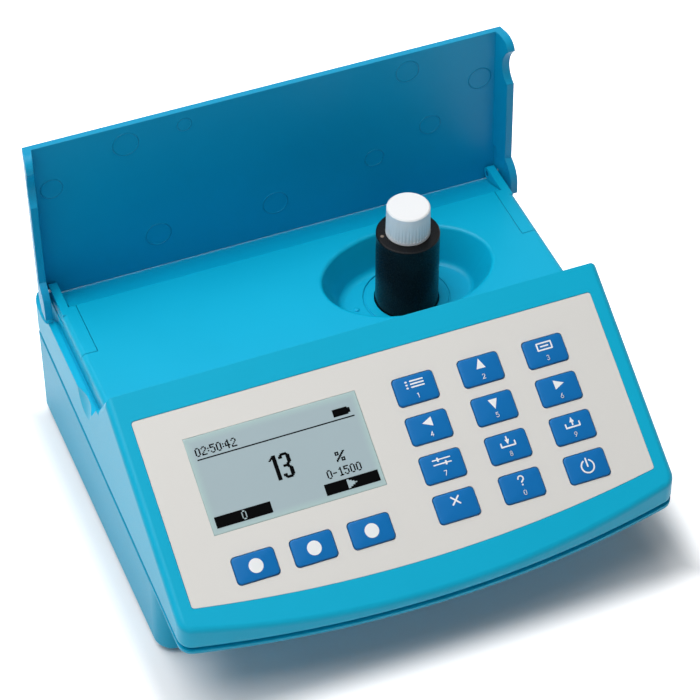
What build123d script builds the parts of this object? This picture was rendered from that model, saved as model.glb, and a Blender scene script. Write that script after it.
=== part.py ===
from build123d import *
import os
from math import atan2, cos, degrees, hypot, radians, sin, sqrt, tan

# A bench photometer with an open lid, in millimetres.
# X runs to the right, Y to the back, Z up from the surface that the feet stand on.
# The front panel slopes down to the front. Behind its ridge lies a lower deck with the cuvette well,
# which the lid covers when it is shut.

# Case
rear_y = 85.0
front_corner_y = -92.9
front_bulge = 12.0
front_corner_radius = 6.0
rear_corner_radius = 4.0
inner_corner_radius = 0.8
wall = 2.5
foot_height = 2.5
foot_radius = 6.5
foot_recess = 1.0
foot_chamfer = 0.6
foot_inset_x = 17.0
foot_front_y = -48.0
foot_rear_y = 66.0

# Seam between the two housings: a plane that falls towards the front
seam_rear_z = 45.5
seam_front_z = 34.8
seam_groove = 0.35

# Lower housing: its front wall stands back under the chin of the upper one
lower_front_y = -65.3
lower_corner_radius = 8.0
lower_bottom_radius = 1.2
shelf_rear_y = -40.0
shelf_thickness = 2.0
shelf_bottom_radius = 0.8

# Sloping front panel
ridge_y = -12.7
ridge_z = 94.9
panel_slope = 30.75
ridge_wall_run = 13.5
edge_radius = 3.0

# Deck, side ledges and the band that falls away behind the deck
deck_z = 76.0
deck_side_inset = 4.0
deck_edge_radius = 2.4
ledge_z = 66.0
ledge_groove = 0.9
ledge_groove_depth = 0.8
ledge_groove_start = 1.0
band_start_y = 60.0
band_slope = 24.2
scoop_y = 17.4
scoop_radius = 20.0
scoop_depth = 1.8

# Oval dish around the cuvette well
well_x = 39.5
well_y = 29.3
dish_half_x = 36.3
dish_half_y = 25.0
dish_floor_half_x = 28.5
dish_floor_half_y = 19.6
dish_depth = 15.0
dish_floor_radius = 3.0
dish_rim_radius = 1.6
well_ring_radius = 18.0
well_ring_width = 0.8
well_ring_depth = 0.5

# Lid, hinge axis and hinge brackets; the lid's own sizes are those of the shut lid
pivot_y = 74.6
pivot_z = 73.2
lid_open_angle = 92.0
lid_length = 71.1
lid_thickness = 3.3
lid_depth = 11.5
lid_gap = 0.3
lid_top_inset = 1.2
lid_edge_overhang = 0.8
flange_thickness = 3.1
lid_rear = 4.8
lug_radius = 11.3
lug_flare = 0.3
lug_pocket_gap = 0.4
lid_edge_radius = 0.8
flange_corner_radius = 6.5
grip_length = 16.6
grip_depth = 3.6
grip_from_free_edge = 13.9
pin_radius = 1.25
pin_play = 0.05
press_play = 0.05
pin_cover = 1.2
bracket_inset = 11.2
bracket_front_y = 31.8
bracket_thickness = 3.0
bracket_seam = 0.2
hinge_screw_inset = 2.3
hinge_screw_cover = 1.0
hinge_screw_front_margin = 6.0
hinge_screw_rear_margin = 8.0
ear_inset = 4.4
ear_width = 3.6
ear_end_radius = 2.8
ear_slot_gap = 0.5
ear_root = 4.0
ear_slot_rear_wall = 2.0
slot_end_front = 12.0
slot_end_rear = 3.0

# Keypad label and display window, placed down the slope from the ridge
label_side_margin = 7.1
label_top = 11.4
label_side_length = 75.0
label_bulge = 8.0
label_corner_radius = 1.2
label_recess = 0.5
label_thickness = 0.4
window_s = 42.85
window_width = 70.7
window_height = 39.1
window_thickness = 1.2
window_seat = 2.0
part_gap = 0.15

# Keys
key_width = 17.0
key_spacing = 10.7
key_height = 11.3
function_key_height = 10.8
key_corner_radius = 1.8
key_rise = 1.1
key_crown = 0.45
key_gap = 0.3
key_flange = 1.1
key_flange_thickness = 1.2
key_flange_gap = 0.2
key_travel = 0.8
row_s = 29.45
row_pitch = 16.2
function_key_s = 77.9
function_key_shift = 0.3
function_key_spacing = 6.6
mat_thickness = 1.6
mat_margin = 2.2
contact_radius = 3.0
contact_rise = 0.25

# Boards, display and what hangs on them
board_thickness = 1.6
board_side_margin = 13.8
board_top_s = 14.0
board_bottom_s = 87.0
board_screw_radius = 1.2
board_boss_radius = 3.0
board_boss_margin = 1.0
board_boss_low_margin = 4.0
middle_boss_side = 5.7
middle_boss_s = 66.0
board_screw_bite = 3.0
small_head_rim = 1.0
small_head_height = 1.5
display_frame = 2.65
display_side = 21.2
keypad_side = 21.4
middle_strip = 9.0
display_height = 51.0
display_glass_margin = 1.0
gasket_width = 1.6
gasket_thickness = 0.5
buzzer_radius = 6.0
buzzer_height = 5.0
buzzer_hole_radius = 1.2
buzzer_side = 23.5
buzzer_s = 30.0

# Cuvette holder and optics
holder_half_x = 20.0
holder_half_y = 18.0
holder_bottom_z = 9.0
holder_floor = 3.0
holder_post_offset = 26.0
holder_post_root = 1.5
holder_post_radius = 4.0
holder_post_drop = 6.0
holder_ear_thickness = 4.0
well_bore_radius = 13.3
adapter_radius = 13.0
adapter_top_z = 97.2
adapter_floor = 1.5
adapter_chamfer = 0.4
adapter_window_width = 6.0
adapter_window_height = 12.0
vial_radius = 8.0
vial_play = 0.3
vial_wall = 1.1
vial_neck_radius = 6.6
vial_neck_length = 11.5
vial_neck_sunk = 1.5
vial_foot_radius = 2.5
vial_inner_foot_radius = 1.6
vial_shoulder_radius = 1.2
cap_radius = 8.8
cap_foot_radius = 9.1
cap_height = 13.3
cap_top_thickness = 1.6
cap_chamfer = 0.5
cap_thread_gap = 0.35
cap_rib_count = 40
cap_rib_depth = 0.25
cap_rib_radius = 0.6
cap_rib_foot = 1.2
cap_rib_head = 2.0
cap_lift = 0.3
sample_level_z = 74.0
sample_foot_extra = 0.1
beam_z = 34.0
beam_radius = 4.6
tube_half = 8.0
tube_length = 18.0
lens_thickness = 2.4
lens_edge = 0.7
filter_thickness = 3.0
optic_fit = 0.05
optic_spacing = 0.6
optic_board_half = 11.0
led_radius = 2.5
led_length = 6.4
led_rim = 0.4
led_rim_height = 1.0
splitter_half = 2.9
splitter_thickness = 1.0
splitter_from_end = 8.6
splitter_behind_port = 3.0
side_port_radius = 3.0
detector_radius = 2.9
detector_length = 2.6
seal_thickness = 0.8
seal_width = 2.2

# Battery, rear board and sockets
battery_side = 18.3
battery_y = 0.0
battery_width = 70.0
battery_depth = 38.0
battery_height = 19.0
battery_edge_radius = 2.0
tray_wall = 1.6
tray_height = 8.0
strap_width = 14.0
strap_thickness = 1.2
strap_post_overlap = 1.0
rear_board_side = 14.3
rear_board_width = 62.0
rear_board_depth = 30.0
rear_board_lift = 6.0
rear_board_screw_margin = 0.5
post_floor = 1.0
rear_board_screw_bite = 4.0
strap_screw_bite = 5.0
ear_screw_bite = 4.0
usb_offset = -4.0
usb_width = 13.2
usb_height = 5.8
usb_depth = 14.0
usb_shell = 0.4
usb_back = 2.0
usb_tongue_gap = 0.6
usb_tongue_inset = 1.5
usb_tongue_height = 1.8
charge_offset = 16.0
charge_width = 7.8
charge_height = 2.8
charge_depth = 5.6
charge_inset = 0.5
charge_chamfer = 0.9
charge_side_wall = 0.5
charge_floor_wall = 0.9
charge_roof_wall = 0.3
charge_back = 1.3
jack_offset = -22.0
jack_block = 7.0
jack_depth = 12.0
jack_nose_radius = 3.0
jack_wall_gap = 0.2
jack_bore_radius = 1.78
jack_bore_length = 14.0
socket_gap = 0.3
plug_height = 3.0
plug_depth = 5.0
plug_rim = 1.5
plug_from_edge = 1.0
cable_s = 24.0
cable_width = 16.0
cable_thickness = 0.7
cable_bend_radius = 4.0
cable_drop = 12.0
cable_lean = 6.0
cable_low_y = -16.0
cable_low_z = 40.0
cable_screw_gap = 1.0

# Case screws
case_screw_inset = 9.0
case_screw_front_y = -54.0
case_screw_rear_y = 52.0
case_boss_radius = 4.2
case_screw_radius = 1.45
case_head_radius = 2.8
case_head_height = 2.2
case_screw_length = 14.0
case_screw_bite = 8.0
screw_play = 0.15

# Larger parts on the back of the main board: x, s, width, height, thickness
board_chips = (
    (-20.0, 50.0, 14.0, 14.0, 1.6),
    (-2.0, 50.0, 10.0, 7.0, 1.4),
    (30.0, 30.0, 8.0, 6.0, 2.2),
    (24.0, 62.0, 12.0, 12.0, 1.6),
    (48.0, 70.0, 9.0, 5.0, 2.5),
    (-66.0, 30.0, 10.0, 8.0, 2.0),
)

# How far a cutting shape runs past the surface that it cuts, and a length beyond the whole case
past = 1.0
far = 150.0

# The most by which an edge may miss the place where it is looked for
tiny = 0.01

# Values worked out from the sizes above
column_pitch = key_width + key_spacing
function_key_pitch = key_width + function_key_spacing
mat_width = 2 * column_pitch + key_width + 2 * (key_flange + mat_margin)
display_width = window_width + 2 * display_frame
half = (display_side + display_width + middle_strip + mat_width + keypad_side) / 2
deck_half = half - deck_side_inset
lid_half_top = half - lid_top_inset
lid_half_edge = half + lid_edge_overhang
bracket_inner = half - bracket_inset
ear_outer = half - ear_inset
ear_inner = ear_outer - ear_width
label_half = half - label_side_margin
board_half_width = half - board_side_margin
case_screw_x = half - case_screw_inset
battery_x = battery_side + battery_width / 2 - half
rear_board_x = rear_board_side + rear_board_width / 2 - half
rear_board_screw_reach = rear_board_width / 2 - board_boss_radius - rear_board_screw_margin
cable_side = board_boss_radius + cable_screw_gap + plug_rim + cable_width / 2
cable_x = rear_board_x + rear_board_screw_reach - cable_side
buzzer_x = board_half_width - buzzer_side
usb_x = rear_board_x + usb_offset
charge_x = rear_board_x + charge_offset
jack_x = rear_board_x + jack_offset
window_x = display_side + display_width / 2 - half
middle_boss_x = window_x + display_width / 2 + middle_boss_side
column_x = half - keypad_side - mat_width / 2
function_key_x = window_x - function_key_shift
middle_y = (rear_y + front_corner_y - front_bulge) / 2
case_bottom = foot_height
case_floor = case_bottom + wall
slope = radians(panel_slope)
wall_foot_y = ridge_y + ridge_wall_run
wall_lean = ridge_wall_run / (ridge_z - deck_z)
lid_underside = deck_z + lid_gap
lid_top = lid_underside + lid_thickness
flange_edge_z = lid_top - lid_depth
free_edge_y = pivot_y - lid_length
pocket_radius = hypot(lug_radius, lid_rear) + lug_pocket_gap
slot_floor_z = pivot_z - ear_end_radius - ear_slot_gap
side_roof_z = pivot_z - pocket_radius - wall
dish_floor_z = deck_z - dish_depth
dish_under_z = dish_floor_z - wall
label_bottom = label_top + label_side_length
panel_under = -wall
window_bottom = -(label_recess + window_thickness)
mat_top = panel_under - key_flange_gap - key_flange_thickness - key_travel - contact_rise - part_gap
board_top = mat_top - mat_thickness
board_under = board_top - board_thickness
holder_floor_z = holder_bottom_z + holder_floor
vial_bottom_z = holder_floor_z + adapter_floor
cap_bottom_z = adapter_top_z + cap_lift
rear_board_z = case_floor + rear_board_lift
rear_board_top = rear_board_z + board_thickness
rear_board_front_y = rear_y - wall - part_gap - rear_board_depth
panel_plane = Plane(origin=(0, ridge_y, ridge_z), x_dir=(1, 0, 0), z_dir=(0, -sin(slope), cos(slope)))


def seam_z(y):
    """Height of the seam plane at a depth."""
    fall = (seam_rear_z - seam_front_z) / (rear_y - front_corner_y)
    return seam_rear_z - (rear_y - y) * fall


def panel_z(y, depth=0.0):
    """Height of the sloping panel at a depth, or of a plane that lies under it."""
    return ridge_z - (ridge_y - y) * tan(slope) - depth / cos(slope)


def wall_y(z, depth=0.0):
    """Depth of the ridge's rear wall at a height, or of a plane inside it."""
    return ridge_y + (ridge_z - z) * wall_lean - depth * hypot(1, wall_lean)


def band_z(y):
    """Height of the band that falls away behind the deck."""
    return deck_z - (y - band_start_y) * tan(radians(band_slope))


def on_panel(x, s, n=0.0):
    """A place on the panel: x across, s down the slope from the ridge, n out of the surface."""
    return panel_plane * Pos(x, -s, n)


def box_at(x_range, y_range, z_range):
    """A box between pairs of limits."""
    size = [abs(limits[1] - limits[0]) for limits in (x_range, y_range, z_range)]
    middle = [(limits[1] + limits[0]) / 2 for limits in (x_range, y_range, z_range)]
    return Pos(*middle) * Box(*size)


def slab(points, half_width):
    """A side profile of (y, z) points, drawn out to both sides."""
    face = make_face(Polyline(*points, close=True))
    return extrude(Plane.YZ * face, amount=half_width, both=True)


def rod(start, direction, radius, length):
    """A round rod from a point along a direction."""
    return extrude(Plane(origin=start, z_dir=direction) * Circle(radius), amount=length)


def both_sides(solid):
    """The piece and its mirror image across the middle."""
    return solid + mirror(solid, about=Plane.YZ)


def plan_prism(front_y, bulge, corner, inset, z_range):
    """The case's outline seen from above, moved inwards, between two heights."""
    side = half - inset
    front = front_y + inset
    back = rear_y - inset
    face = Polyline((side, front), (side, back), (-side, back), (-side, front))
    if bulge:
        face = make_face(face + ThreePointArc((-side, front), (0, front - bulge), (side, front)))
    else:
        face = make_face(face + Line((-side, front), (side, front)))
    face = fillet(face.vertices().group_by(Axis.Y)[-1], max(rear_corner_radius - inset, inner_corner_radius))
    front_corners = [v for v in face.vertices() if abs(v.Y - front) < tiny and abs(abs(v.X) - side) < tiny]
    face = fillet(front_corners, max(corner - inset, inner_corner_radius))
    return Pos(0, 0, z_range[0]) * extrude(face, amount=z_range[1] - z_range[0])


def ellipse_bowl(grow, top_z, bottom_z):
    """The dish between two heights, grown outwards by a wall."""
    top = Pos(well_x, well_y, top_z) * Ellipse(dish_half_x + grow, dish_half_y + grow)
    bottom = Pos(well_x, well_y, bottom_z) * Ellipse(dish_floor_half_x + grow, dish_floor_half_y + grow)
    return loft([top.face(), bottom.face()])


def key_places():
    """Name, place on the panel and height of each key."""
    places = []
    for number in range(3):
        x = function_key_x + (number - 1) * function_key_pitch
        places.append((f"function_key_{number + 1}", x, function_key_s, function_key_height))
    for row in range(4):
        for column in range(3):
            x = column_x + (column - 1) * column_pitch
            places.append((f"key_row{row + 1}_{column + 1}", x, row_s + row * row_pitch, key_height))
    return places


def key_hole(height):
    """The opening that a key passes through, in the label and in the panel."""
    return RectangleRounded(key_width + 2 * key_gap, height + 2 * key_gap, key_corner_radius)


def label_face(grow=0.0):
    """The label's outline in the panel's own plane, with its lower edge bowed to the front."""
    side = label_half + grow
    top = -(label_top - grow)
    corner = -(label_bottom + grow)
    bow = ThreePointArc((-side, corner), (0, corner - label_bulge), (side, corner))
    outline = bow + Polyline((side, corner), (side, top), (-side, top), (-side, corner))
    face = make_face(outline)
    return fillet(face.vertices(), label_corner_radius)


def board_boss_places():
    """Where the main board is screwed to the panel."""
    side = board_half_width - board_boss_radius - board_boss_margin
    top = board_top_s + board_boss_radius + board_boss_margin
    bottom = board_bottom_s - board_boss_radius - board_boss_low_margin
    corners = [(-side, top), (side, top), (-side, bottom), (side, bottom)]
    return corners + [(middle_boss_x, top), (middle_boss_x, middle_boss_s)]


def case_screw_places():
    """Where the two housings are screwed together."""
    return [(side * case_screw_x, y) for side in (-1, 1) for y in (case_screw_front_y, case_screw_rear_y)]


def foot_places():
    """Where the rubber feet stand."""
    return [(side * (half - foot_inset_x), y) for side in (-1, 1) for y in (foot_front_y, foot_rear_y)]


def upper_outside():
    """The upper housing as a full block, before it is hollowed."""
    profile = [(-far, seam_z(-far)), (far, seam_z(far)), (far, band_z(far)), (band_start_y, deck_z),
               (wall_foot_y, deck_z), (ridge_y, ridge_z), (-far, panel_z(-far))]
    block = plan_prism(front_corner_y, front_bulge, front_corner_radius, 0.0, (0, ridge_z + past))
    block = block & slab(profile, far)
    panel_face = block.faces().sort_by(Axis((0, 0, 0), (0, -sin(slope), cos(slope))))[-1]
    ridge_sides = [edge for edge in block.edges()
                   if abs(abs(edge.center().X) - half) < tiny
                   and wall_y(ridge_z) < edge.center().Y < wall_foot_y
                   and edge.center().Z > deck_z]
    block = fillet(list(panel_face.edges()) + ridge_sides, edge_radius)
    side_cut_profile = [(wall_y(ledge_z), ledge_z), (far, ledge_z), (far, far), (wall_y(far), far)]
    side_cut = slab(side_cut_profile, far) - box_at((-deck_half, deck_half), (-far, far), (0, far))
    block = block - side_cut
    deck_edges = [edge for edge in block.edges().filter_by(Axis.Y)
                  if abs(abs(edge.center().X) - deck_half) < tiny and edge.center().Z > deck_z - tiny]
    return fillet(deck_edges, deck_edge_radius)


def hinge_bracket():
    """The right hinge bracket: a strip let into the deck, and the ear behind it that holds the pin."""
    strip = box_at((bracket_inner + bracket_seam, half), (bracket_front_y + bracket_seam, band_start_y),
                   (deck_z - bracket_thickness, ridge_z))
    strip = strip & upper_outside_solid
    ear = box_at((ear_inner, ear_outer), (band_start_y - ear_root, pivot_y),
                 (pivot_z - ear_end_radius, pivot_z + ear_end_radius))
    ear = ear + rod((ear_inner, pivot_y, pivot_z), (1, 0, 0), ear_end_radius, ear_outer - ear_inner)
    bracket = strip + ear
    bore_length = ear_outer - ear_inner + 2 * past
    bore = rod((ear_inner - past, pivot_y, pivot_z), (1, 0, 0), pin_radius + press_play, bore_length)
    for y in hinge_screw_ys():
        start = (hinge_screw_x(), y, deck_z - hinge_screw_cover)
        bracket = bracket - rod(start, (0, 0, -1), board_screw_radius, bracket_thickness)
    return bracket - bore


def hinge_screw_x():
    """Distance of the bracket's screws from the middle."""
    return bracket_inner + hinge_screw_inset


def hinge_screw_ys():
    """Depths of a bracket's two screws."""
    return [bracket_front_y + hinge_screw_front_margin, band_start_y - hinge_screw_rear_margin]


def upper_hollow():
    """The space inside the upper housing."""
    below = case_floor
    fall = wall * hypot(1, wall_lean) * tan(slope) + wall / cos(slope)
    inner_ridge_z = ridge_z - fall / (1 + wall_lean * tan(slope))
    inner_ridge = (wall_y(inner_ridge_z, wall), inner_ridge_z)
    floor = [(-far, below), (far, below)]
    under_panel = [inner_ridge, (-far, panel_z(-far, wall))]
    low = [(far, side_roof_z), (wall_y(side_roof_z, wall), side_roof_z)]
    middle_z = slot_floor_z - wall
    rear_low_z = min(middle_z, band_z(rear_y) - wall)
    middle = [(far, rear_low_z), (rear_y - slot_end_rear, rear_low_z), (rear_y - slot_end_front, middle_z),
              (wall_y(middle_z, wall), middle_z)]
    roof = deck_z - wall
    top = [(far, band_z(far) - wall), (band_start_y, roof), (wall_y(roof, wall), roof)]
    inner = plan_prism(front_corner_y, front_bulge, front_corner_radius, wall, (below, ridge_z))
    hollow = inner & slab(floor + low + under_panel, half)
    hollow = hollow + (inner & slab(floor + middle + under_panel, deck_half - wall))
    return hollow + (inner & slab(floor + top + under_panel, bracket_inner - wall))


def dish_rim_edge(shell):
    """The edge where the dish meets the deck."""
    rims = []
    for edge in shell.edges():
        middle = edge.bounding_box().center()
        near = abs(middle.X - well_x) < 1 and abs(middle.Y - well_y) < 1 and abs(middle.Z - deck_z) < 0.1
        if near and edge.bounding_box().size.X > dish_half_x:
            rims.append(edge)
    return rims


def upper_housing():
    """The upper housing: sloping panel, deck, dish, ledges, hinge pockets and inner bosses."""
    dish = ellipse_bowl(0.0, deck_z, dish_floor_z)
    dish = fillet(dish.edges().sort_by(Axis.Z)[0], dish_floor_radius)
    shell = upper_outside_solid - dish
    shell = fillet(dish_rim_edge(shell), dish_rim_radius)
    shell = shell - (upper_hollow() - ellipse_bowl(wall, deck_z, dish_under_z))
    for x, s in board_boss_places():
        boss = Circle(board_boss_radius) - Circle(board_screw_radius)
        shell = shell + on_panel(x, s, board_top) * extrude(boss, amount=panel_under - board_top)
    for x, y in case_screw_places():
        roof = panel_z(y, wall) if y < wall_y(side_roof_z) else side_roof_z
        boss = rod((x, y, seam_z(y)), (0, 0, 1), case_boss_radius, roof - seam_z(y) + past)
        boss = boss - rod((x, y, seam_z(y) - past), (0, 0, 1), case_screw_radius, case_screw_bite + 2 * past)
        shell = shell + (boss & upper_outside_solid)
    for side in (-1, 1):
        start = (well_x + side * holder_post_offset, well_y, dish_under_z - holder_post_drop)
        post = rod(start, (0, 0, 1), holder_post_radius, holder_post_drop + holder_post_root)
        shell = shell + (post - rod(start, (0, 0, 1), board_screw_radius, holder_post_drop))
    well_hole = rod((well_x, well_y, dish_under_z - past), (0, 0, 1), well_bore_radius + part_gap, dish_depth)
    ring_face = Circle(well_ring_radius) - Circle(well_ring_radius - well_ring_width)
    ring = Pos(well_x, well_y, dish_floor_z - well_ring_depth) * extrude(ring_face, amount=2 * well_ring_depth)
    shell = shell - well_hole - ring
    shell = shell - on_panel(0, 0, -label_recess) * extrude(label_face(part_gap), amount=wall)
    view_face = Rectangle(window_width - 2 * window_seat, window_height - 2 * window_seat)
    shell = shell - on_panel(window_x, window_s, panel_under - past) * extrude(view_face, amount=wall + 2 * past)
    seat_face = Rectangle(window_width + 2 * part_gap, window_height + 2 * part_gap)
    shell = shell - on_panel(window_x, window_s, window_bottom) * extrude(seat_face, amount=wall)
    for key_name, x, s, height in key_places():
        shell = shell - on_panel(x, s, panel_under - past) * extrude(key_hole(height), amount=wall + 2 * past)
    return shell - both_sides(side_cuts())


def side_cuts():
    """What is taken out of the right side: hinge pocket, bracket seat, ear slot, groove and finger scoop."""
    pocket = rod((deck_half, pivot_y, pivot_z), (1, 0, 0), pocket_radius, half - deck_half + past)
    seat = box_at((bracket_inner, half), (bracket_front_y, band_start_y), (deck_z - bracket_thickness, deck_z + past))
    slot_front_y = band_start_y - ear_root - ear_slot_gap
    slot = box_at((ear_inner - ear_slot_gap, deck_half + ear_slot_gap), (slot_front_y, rear_y - ear_slot_rear_wall),
                  (slot_floor_z, deck_z + past))
    groove = box_at((deck_half, deck_half + ledge_groove), (wall_y(ledge_z) + ledge_groove_start, pivot_y),
                    (ledge_z - ledge_groove_depth, ledge_z + past))
    scoop = Pos(half + scoop_radius - scoop_depth, scoop_y, ledge_z) * Sphere(scoop_radius)
    cuts = pocket + seat + slot + groove + scoop
    for y in hinge_screw_ys():
        start = (hinge_screw_x(), y, deck_z - bracket_thickness + past)
        depth = start[2] - slot_floor_z + wall + past
        cuts = cuts + rod(start, (0, 0, -1), board_screw_radius + screw_play, depth)
    return cuts


def lower_housing():
    """The lower housing: tub, chin shelf, tray for the battery, posts and rear socket openings."""
    top = seam_z(far)
    under_seam = [(-far, seam_z(-far)), (far, seam_z(far)), (far, case_bottom), (-far, case_bottom)]
    tub = plan_prism(lower_front_y, 0.0, lower_corner_radius, 0.0, (case_bottom, top)) & slab(under_seam, far)
    tub = fillet(tub.faces().sort_by(Axis.Z)[0].edges(), lower_bottom_radius)
    hollow_profile = [(-far, seam_z(-far) + past), (far, seam_z(far) + past), (far, case_floor), (-far, case_floor)]
    hollow = plan_prism(lower_front_y, 0.0, lower_corner_radius, wall, (case_floor, top)) & slab(hollow_profile, far)
    shelf_profile = [(-far, seam_z(-far)), (shelf_rear_y, seam_z(shelf_rear_y)),
                     (shelf_rear_y, seam_z(shelf_rear_y) - shelf_thickness), (-far, seam_z(-far) - shelf_thickness)]
    shelf = plan_prism(front_corner_y, front_bulge, front_corner_radius, 0.0, (0, top)) & slab(shelf_profile, far)
    under_edges = [edge for edge in shelf.edges() if edge.center().Y < shelf_rear_y - past
                   and abs(seam_z(edge.center().Y) - shelf_thickness - edge.center().Z) < tiny]
    shelf = fillet(under_edges, shelf_bottom_radius)
    shelf_back = lower_front_y + lower_corner_radius
    shelf = shelf & box_at((-far, far), (-far, shelf_back), (0, top))
    tub = tub + shelf - hollow
    groove_profile = [(shelf_back, seam_z(shelf_back)), (far, seam_z(far)),
                      (far, seam_z(far) - seam_groove), (shelf_back, seam_z(shelf_back) - seam_groove)]
    ring = plan_prism(lower_front_y, 0.0, lower_corner_radius, -past, (0, top))
    ring = ring - plan_prism(lower_front_y, 0.0, lower_corner_radius, seam_groove, (0, top))
    tub = tub - (ring & slab(groove_profile, far))
    for x, y in case_screw_places():
        tub = tub + rod((x, y, case_floor - past), (0, 0, 1), case_boss_radius, seam_z(y) - case_floor + past)
    tub = tub & slab(under_seam, far)
    for x, y in case_screw_places():
        sunk = case_head_z(y) - case_bottom
        tub = tub - rod((x, y, case_bottom - past), (0, 0, 1), case_head_radius + part_gap, sunk + past)
        tub = tub - rod((x, y, case_bottom + sunk - past), (0, 0, 1), case_screw_radius + screw_play, top)
    for x, y in foot_places():
        tub = tub - rod((x, y, case_bottom - past), (0, 0, 1), foot_radius + part_gap, foot_recess + past)
    tray_space = Rectangle(battery_width + 2 * part_gap, battery_depth + 2 * part_gap)
    tray_face = Rectangle(battery_width + 2 * part_gap + 2 * tray_wall, battery_depth + 2 * part_gap + 2 * tray_wall)
    tub = tub + Pos(battery_x, battery_y, case_floor) * extrude(tray_face - tray_space, amount=tray_height)
    for x, y in rear_board_screws():
        tub = tub + screw_post(x, y, rear_board_lift)
    for x in strap_screw_xs():
        tub = tub + screw_post(x, battery_y, battery_height)
    tub = tub - socket_hole(usb_x, usb_width, usb_height) - socket_hole(charge_x, charge_width, charge_height)
    nose_start = (jack_x, rear_y - wall - past, rear_board_top + jack_block / 2)
    return tub - rod(nose_start, (0, 1, 0), jack_nose_radius + socket_gap, wall + 2 * past)


def screw_post(x, y, height):
    """A hollow post on the floor of the lower housing."""
    post = rod((x, y, case_floor), (0, 0, 1), board_boss_radius, height)
    return post - rod((x, y, case_floor + post_floor), (0, 0, 1), board_screw_radius, height)


def socket_hole(x, width, height):
    """The hole in the rear wall for a socket that lies on the rear board."""
    side = width / 2 + socket_gap
    return box_at((x - side, x + side), (rear_y - wall - past, rear_y + past),
                  (rear_board_top - socket_gap, rear_board_top + height + socket_gap))


def case_head_z(y):
    """Height of the shoulder under a case screw's head."""
    return seam_z(y) + case_screw_bite - case_screw_length


def rear_board_screws():
    """Where the rear board is screwed down."""
    y = rear_board_front_y + board_boss_radius + rear_board_screw_margin
    return [(rear_board_x - rear_board_screw_reach, y), (rear_board_x + rear_board_screw_reach, y)]


def strap_screw_xs():
    """Where the battery strap is screwed down."""
    side = battery_width / 2 + part_gap + tray_wall + board_boss_radius - strap_post_overlap
    return [battery_x - side, battery_x + side]


def shut_lid():
    """The lid as it lies when shut: a panel with two side flanges that end in the hinge lugs."""
    rear = pivot_y + lid_rear
    section = make_face(Polyline((-lid_half_edge, flange_edge_z), (lid_half_edge, flange_edge_z),
                                 (lid_half_top, lid_top), (-lid_half_top, lid_top), close=True))
    drop = pivot_z - lug_radius
    lug_edge = lid_half_edge + lug_flare
    section = section + make_face(Polyline((-lug_edge, drop), (lug_edge, drop), (lid_half_edge, flange_edge_z),
                                           (-lid_half_edge, flange_edge_z), close=True))
    block = Pos(0, rear, 0) * extrude(Plane.XZ * section, amount=rear - free_edge_y)
    block = fillet(block.faces().sort_by(Axis.Z)[-1].edges(), lid_edge_radius)
    inner_edge = lid_half_edge - flange_thickness
    inner_top = lid_half_top - flange_thickness
    hollow = make_face(Polyline((-inner_edge - lug_flare, drop), (-inner_edge, flange_edge_z),
                                (-inner_top, lid_underside), (inner_top, lid_underside),
                                (inner_edge, flange_edge_z), (inner_edge + lug_flare, drop), close=True))
    block = block - Pos(0, far, 0) * extrude(Plane.XZ * hollow, amount=2 * far)
    tail = pivot_y - sqrt(lug_radius ** 2 - (pivot_z - flange_edge_z) ** 2)
    turn = atan2(pivot_y - tail, pivot_z - flange_edge_z) / 2
    on_arc = (pivot_y - lug_radius * sin(turn), pivot_z - lug_radius * cos(turn))
    profile = Polyline((-far, far), (-far, flange_edge_z), (tail, flange_edge_z))
    arc = ThreePointArc((tail, flange_edge_z), on_arc, (pivot_y, drop))
    closing = Polyline((pivot_y, drop), (rear, drop), (rear, far), (-far, far))
    side_face = make_face(profile + arc + closing)
    block = block & extrude(Plane.YZ * side_face, amount=far, both=True)
    block = round_flange_corners(block)
    for side in (-1, 1):
        relief = rod((side * (inner_top - past), pivot_y, pivot_z), (side, 0, 0), pocket_radius,
                     deck_half + lid_gap - inner_top + past)
        block = block - (relief & box_at((-far, far), (0, far), (0, lid_underside)))
    grip_y = free_edge_y + grip_from_free_edge
    grip_r = ((grip_length / 2) ** 2 + grip_depth ** 2) / (2 * grip_depth)
    grip = rod((-far, grip_y, flange_edge_z + grip_depth - grip_r), (1, 0, 0), grip_r, 2 * far)
    block = block - grip
    for side in (-1, 1):
        block = block - rod((side * ear_outer, pivot_y, pivot_z), (side, 0, 0), pin_radius + pin_play,
                            lid_half_edge - pin_cover - ear_outer)
    return block


def round_flange_corners(block):
    """Round the two flange corners at the lid's free edge."""
    corner_y = free_edge_y + flange_corner_radius
    corner_z = flange_edge_z + flange_corner_radius
    corner = box_at((-far, far), (free_edge_y - past, corner_y), (flange_edge_z - past, corner_z))
    return block - (corner - rod((-far, corner_y, corner_z), (1, 0, 0), flange_corner_radius, 2 * far))


def opened(solid):
    """A piece of the lid, turned from shut to the open stop about the hinge axis."""
    return solid.rotate(Axis((0, pivot_y, pivot_z), (1, 0, 0)), -lid_open_angle)


def hinge_pin(side):
    """The pin that is pressed into an ear and turns in the lid's lug."""
    inner = side * ear_inner
    length = lid_half_edge - pin_cover - part_gap - ear_inner
    return rod((inner, pivot_y, pivot_z), (side, 0, 0), pin_radius, length)


def keypad_label():
    """The pale label on the panel, with its window and its key holes."""
    face = label_face() - Pos(window_x, -window_s) * Rectangle(window_width, window_height)
    for key_name, x, s, height in key_places():
        face = face - Pos(x, -s) * key_hole(height)
    return on_panel(0, 0, -label_recess) * extrude(face, amount=label_thickness)


def display_window():
    """The clear window, seated on a step in the panel and flush with the label."""
    pane = Rectangle(window_width - part_gap, window_height - part_gap)
    thickness = window_thickness + label_thickness
    return on_panel(window_x, window_s, window_bottom) * extrude(pane, amount=thickness)


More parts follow.
